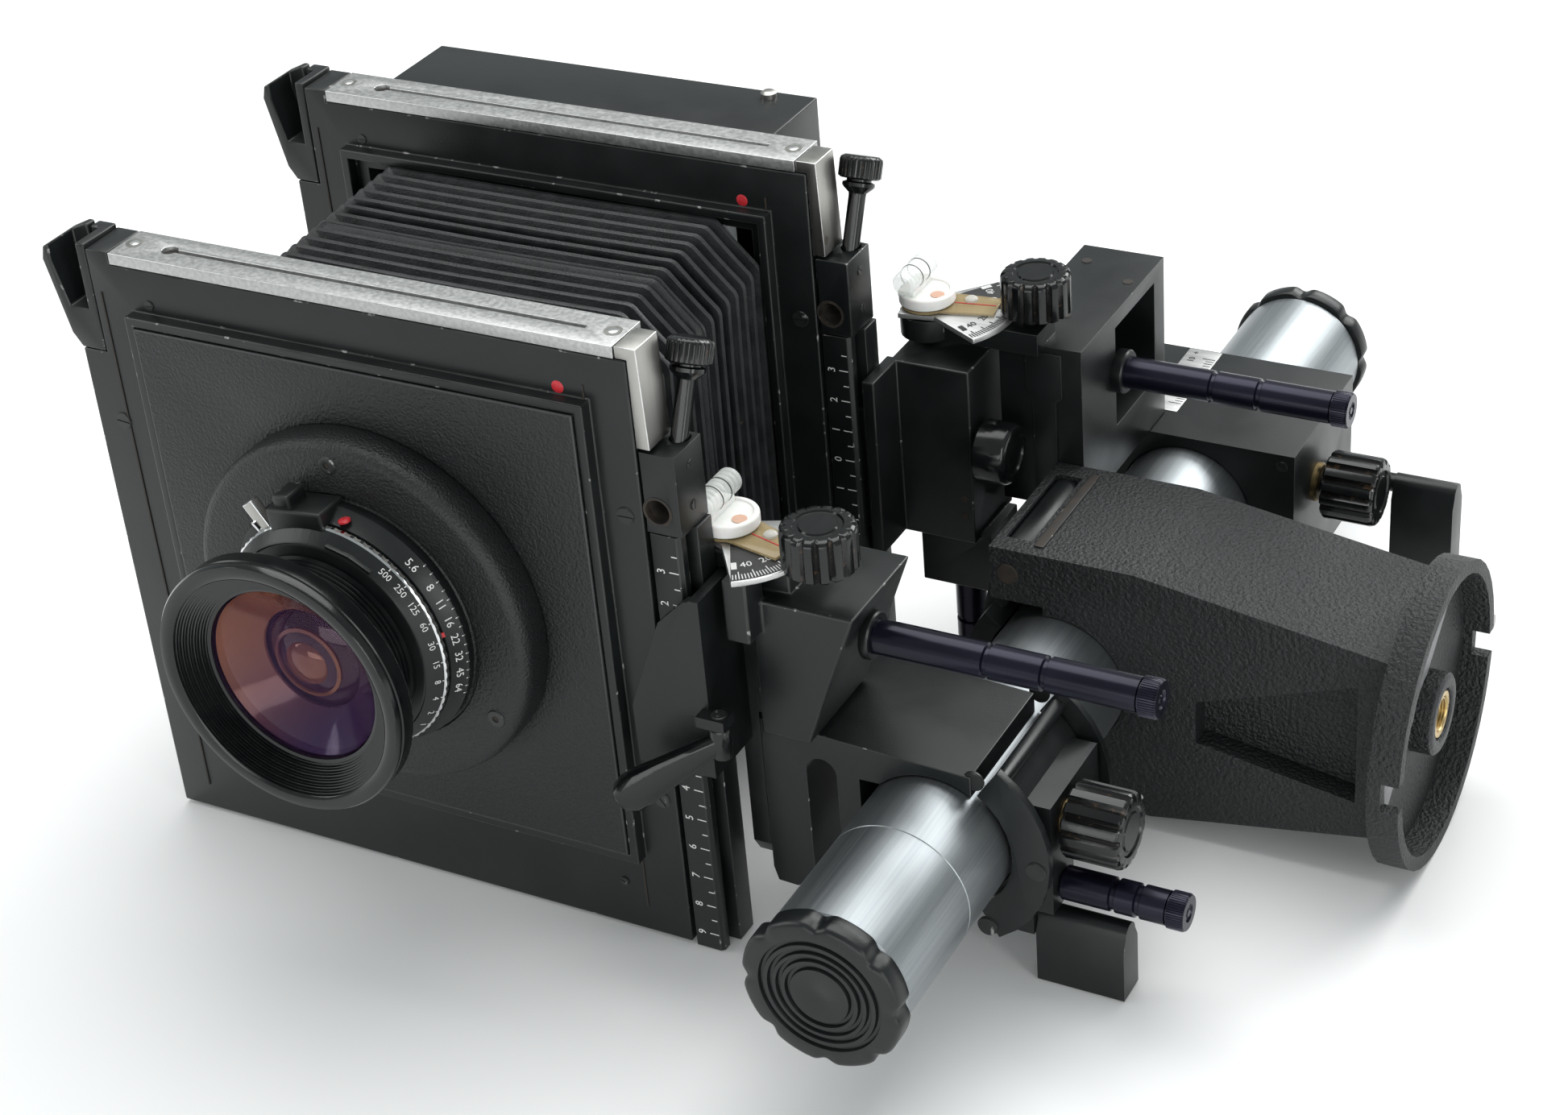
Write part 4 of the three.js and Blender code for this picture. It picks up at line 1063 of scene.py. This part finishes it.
# ---------------------------------------------------------------- film back
def add_back():
    skin("rear_back", SATIN, 0.5)
    skin("ground_glass", ("ground_glass", "ground_glass"), 0.2)
    body = "rear_frame_body"
    for k in range(9):
        y = 143.5 + k * 2.2
        for wall, low, high in (("top", 80.2, 82.7), ("bottom", -77.3, -74.8)):
            prism(f"back_rib_{wall}_{k}", "x", rectangle(y, y + 1.1, low, high), -70, 46,
                  ("satin_black", "satin_black"), body, 0.2)
    for name, x in (("left", -66), ("right", 44)):
        pin = [(0, 0), (1.4, 0), (1.4, 5.4), (1.0, 5.9), (0, 5.9)]
        spun(f"back_pin_{name}", "y", (x, 160.5, 78), pin, ("steel",), body, 24)
    ear = [(0, 0), (2.4, 0), (2.4, 1.6), (1.6, 2.2), (0, 2.2)]
    spun("back_ear", "z", (42, 161, 85.2), ear, ("steel",), body, 32)
    shape = bmesh.new()
    middle = Vector((-10, 140.03, 2))
    pitch, line, lift = 10, 0.18, 0.03
    for i in range(-5, 6):
        add_bar(shape, middle + X * i * pitch, Z, X, 142, line, lift)
    for i in range(-7, 8):
        add_bar(shape, middle + Z * i * pitch, X, Z, 114, line, lift)
    marks("ground_glass_grid", shape, ("black_ink",), body)


# ---------------------------------------------------------------- bellows
BELLOWS_START, BELLOWS_END = 17.5, 116.5
PLEATS = 18
RINGS_PER_PLEAT = 6
BAND_RINGS = (6, 33, 6, 17, 11, 6, 23, 6)  # rings from one body of the chain to the next
VALLEY_HALF, PLEAT_HEIGHT = 64.6, 5.2
VALLEY_BEVEL, BEVEL_GROWTH = 12.0, 1.6
CORNER_ROUND, CORNER_PULL = 1.2, 0.32
LONG_SIDE = 40
CLOTH_METRES = 0.0006
PLEAT_SHAPE = (0.0, 0.42, 0.9, 1.0, 0.9, 0.42)  # share of the pleat's height at each of its rings


def bellows_ring(index):
    share = index / (PLEATS * RINGS_PER_PLEAT)
    y = BELLOWS_START + (BELLOWS_END - BELLOWS_START) * share
    rise = PLEAT_SHAPE[index % RINGS_PER_PLEAT]
    half = VALLEY_HALF + PLEAT_HEIGHT * rise
    bevel = VALLEY_BEVEL + BEVEL_GROWTH * rise
    pleat = index // RINGS_PER_PLEAT
    points = []
    corners = []
    for sx, sz in ((1, -1), (1, 1), (-1, 1), (-1, -1)):
        a = Vector((sx * (half - bevel), sz * half))
        b = Vector((sx * half, sz * (half - bevel)))
        corners += [a, b] if (sx > 0) == (sz < 0) else [b, a]
    count = len(corners)
    for i, here in enumerate(corners):
        before = (corners[i - 1] - here).normalized()
        after = (corners[(i + 1) % count] - here).normalized()
        points += [here + before * CORNER_ROUND, here + (before + after) * CORNER_ROUND * CORNER_PULL,
                   here + after * CORNER_ROUND]
        long_side = (corners[(i + 1) % count] - here).length > LONG_SIDE
        steps = 12 if long_side else 3
        for k in range(1, steps):
            along = here + (corners[(i + 1) % count] - here) * (k / steps)
            # the cloth bows a little between its folded corners
            bow = 0.5 * math.sin(math.pi * k / steps) * (1 if long_side else 0.2)
            wander = 0.04 * math.sin(pleat * 1.7 + k * 1.3 + i)
            points.append(along * (1 - (bow - wander) / half))
    lean = REAR.x * share
    return [(x + lean, y + 0.12 * math.sin(pleat * 2.1 + k * 0.21), z - share)
            for k, (x, z) in enumerate(points)]


def add_bellows():
    first = 0
    for band, count in enumerate(BAND_RINGS):
        last = first + count
        shape = bmesh.new()
        rings = [[shape.verts.new(place(p)) for p in bellows_ring(i)] for i in range(first, last + 1)]
        size = len(rings[0])
        for low, high in zip(range(len(rings) - 1), range(1, len(rings))):
            phase = (first + low) % RINGS_PER_PLEAT
            for i in range(size):
                j = (i + 1) % size
                face = shape.faces.new((rings[low][i], rings[low][j], rings[high][j], rings[high][i]))
                face.material_index = 1 if phase in (1, 2, 3) else 0
        mesh = bpy.data.meshes.new(f"bellows_band_{band}")
        bmesh.ops.recalc_face_normals(shape, faces=shape.faces)
        shape.to_mesh(mesh)
        shape.free()
        piece = publish(f"bellows_band_{band}", mesh, ("bellows_black", "bellows_ridge"), None,
                        "bellows" if band == 0 else None)
        thick = piece.modifiers.new("cloth_thickness", "SOLIDIFY")
        thick.thickness = CLOTH_METRES
        thick.offset = -1
        middle = bellows_ring(first)[0][1], bellows_ring(last)[0][1]
        place((0, middle[0], 0))
        place((0, middle[1], 0))
        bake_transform(piece)
        first = last


add_camera()
add_studio()
add_rail()
add_clamp()
add_format_frame("front", FRONT)
add_format_frame("rear", REAR)
add_lens()
add_tilt_head("front")
add_tilt_head("rear")
add_front_standard()
add_rear_standard()
add_back()
add_bellows()
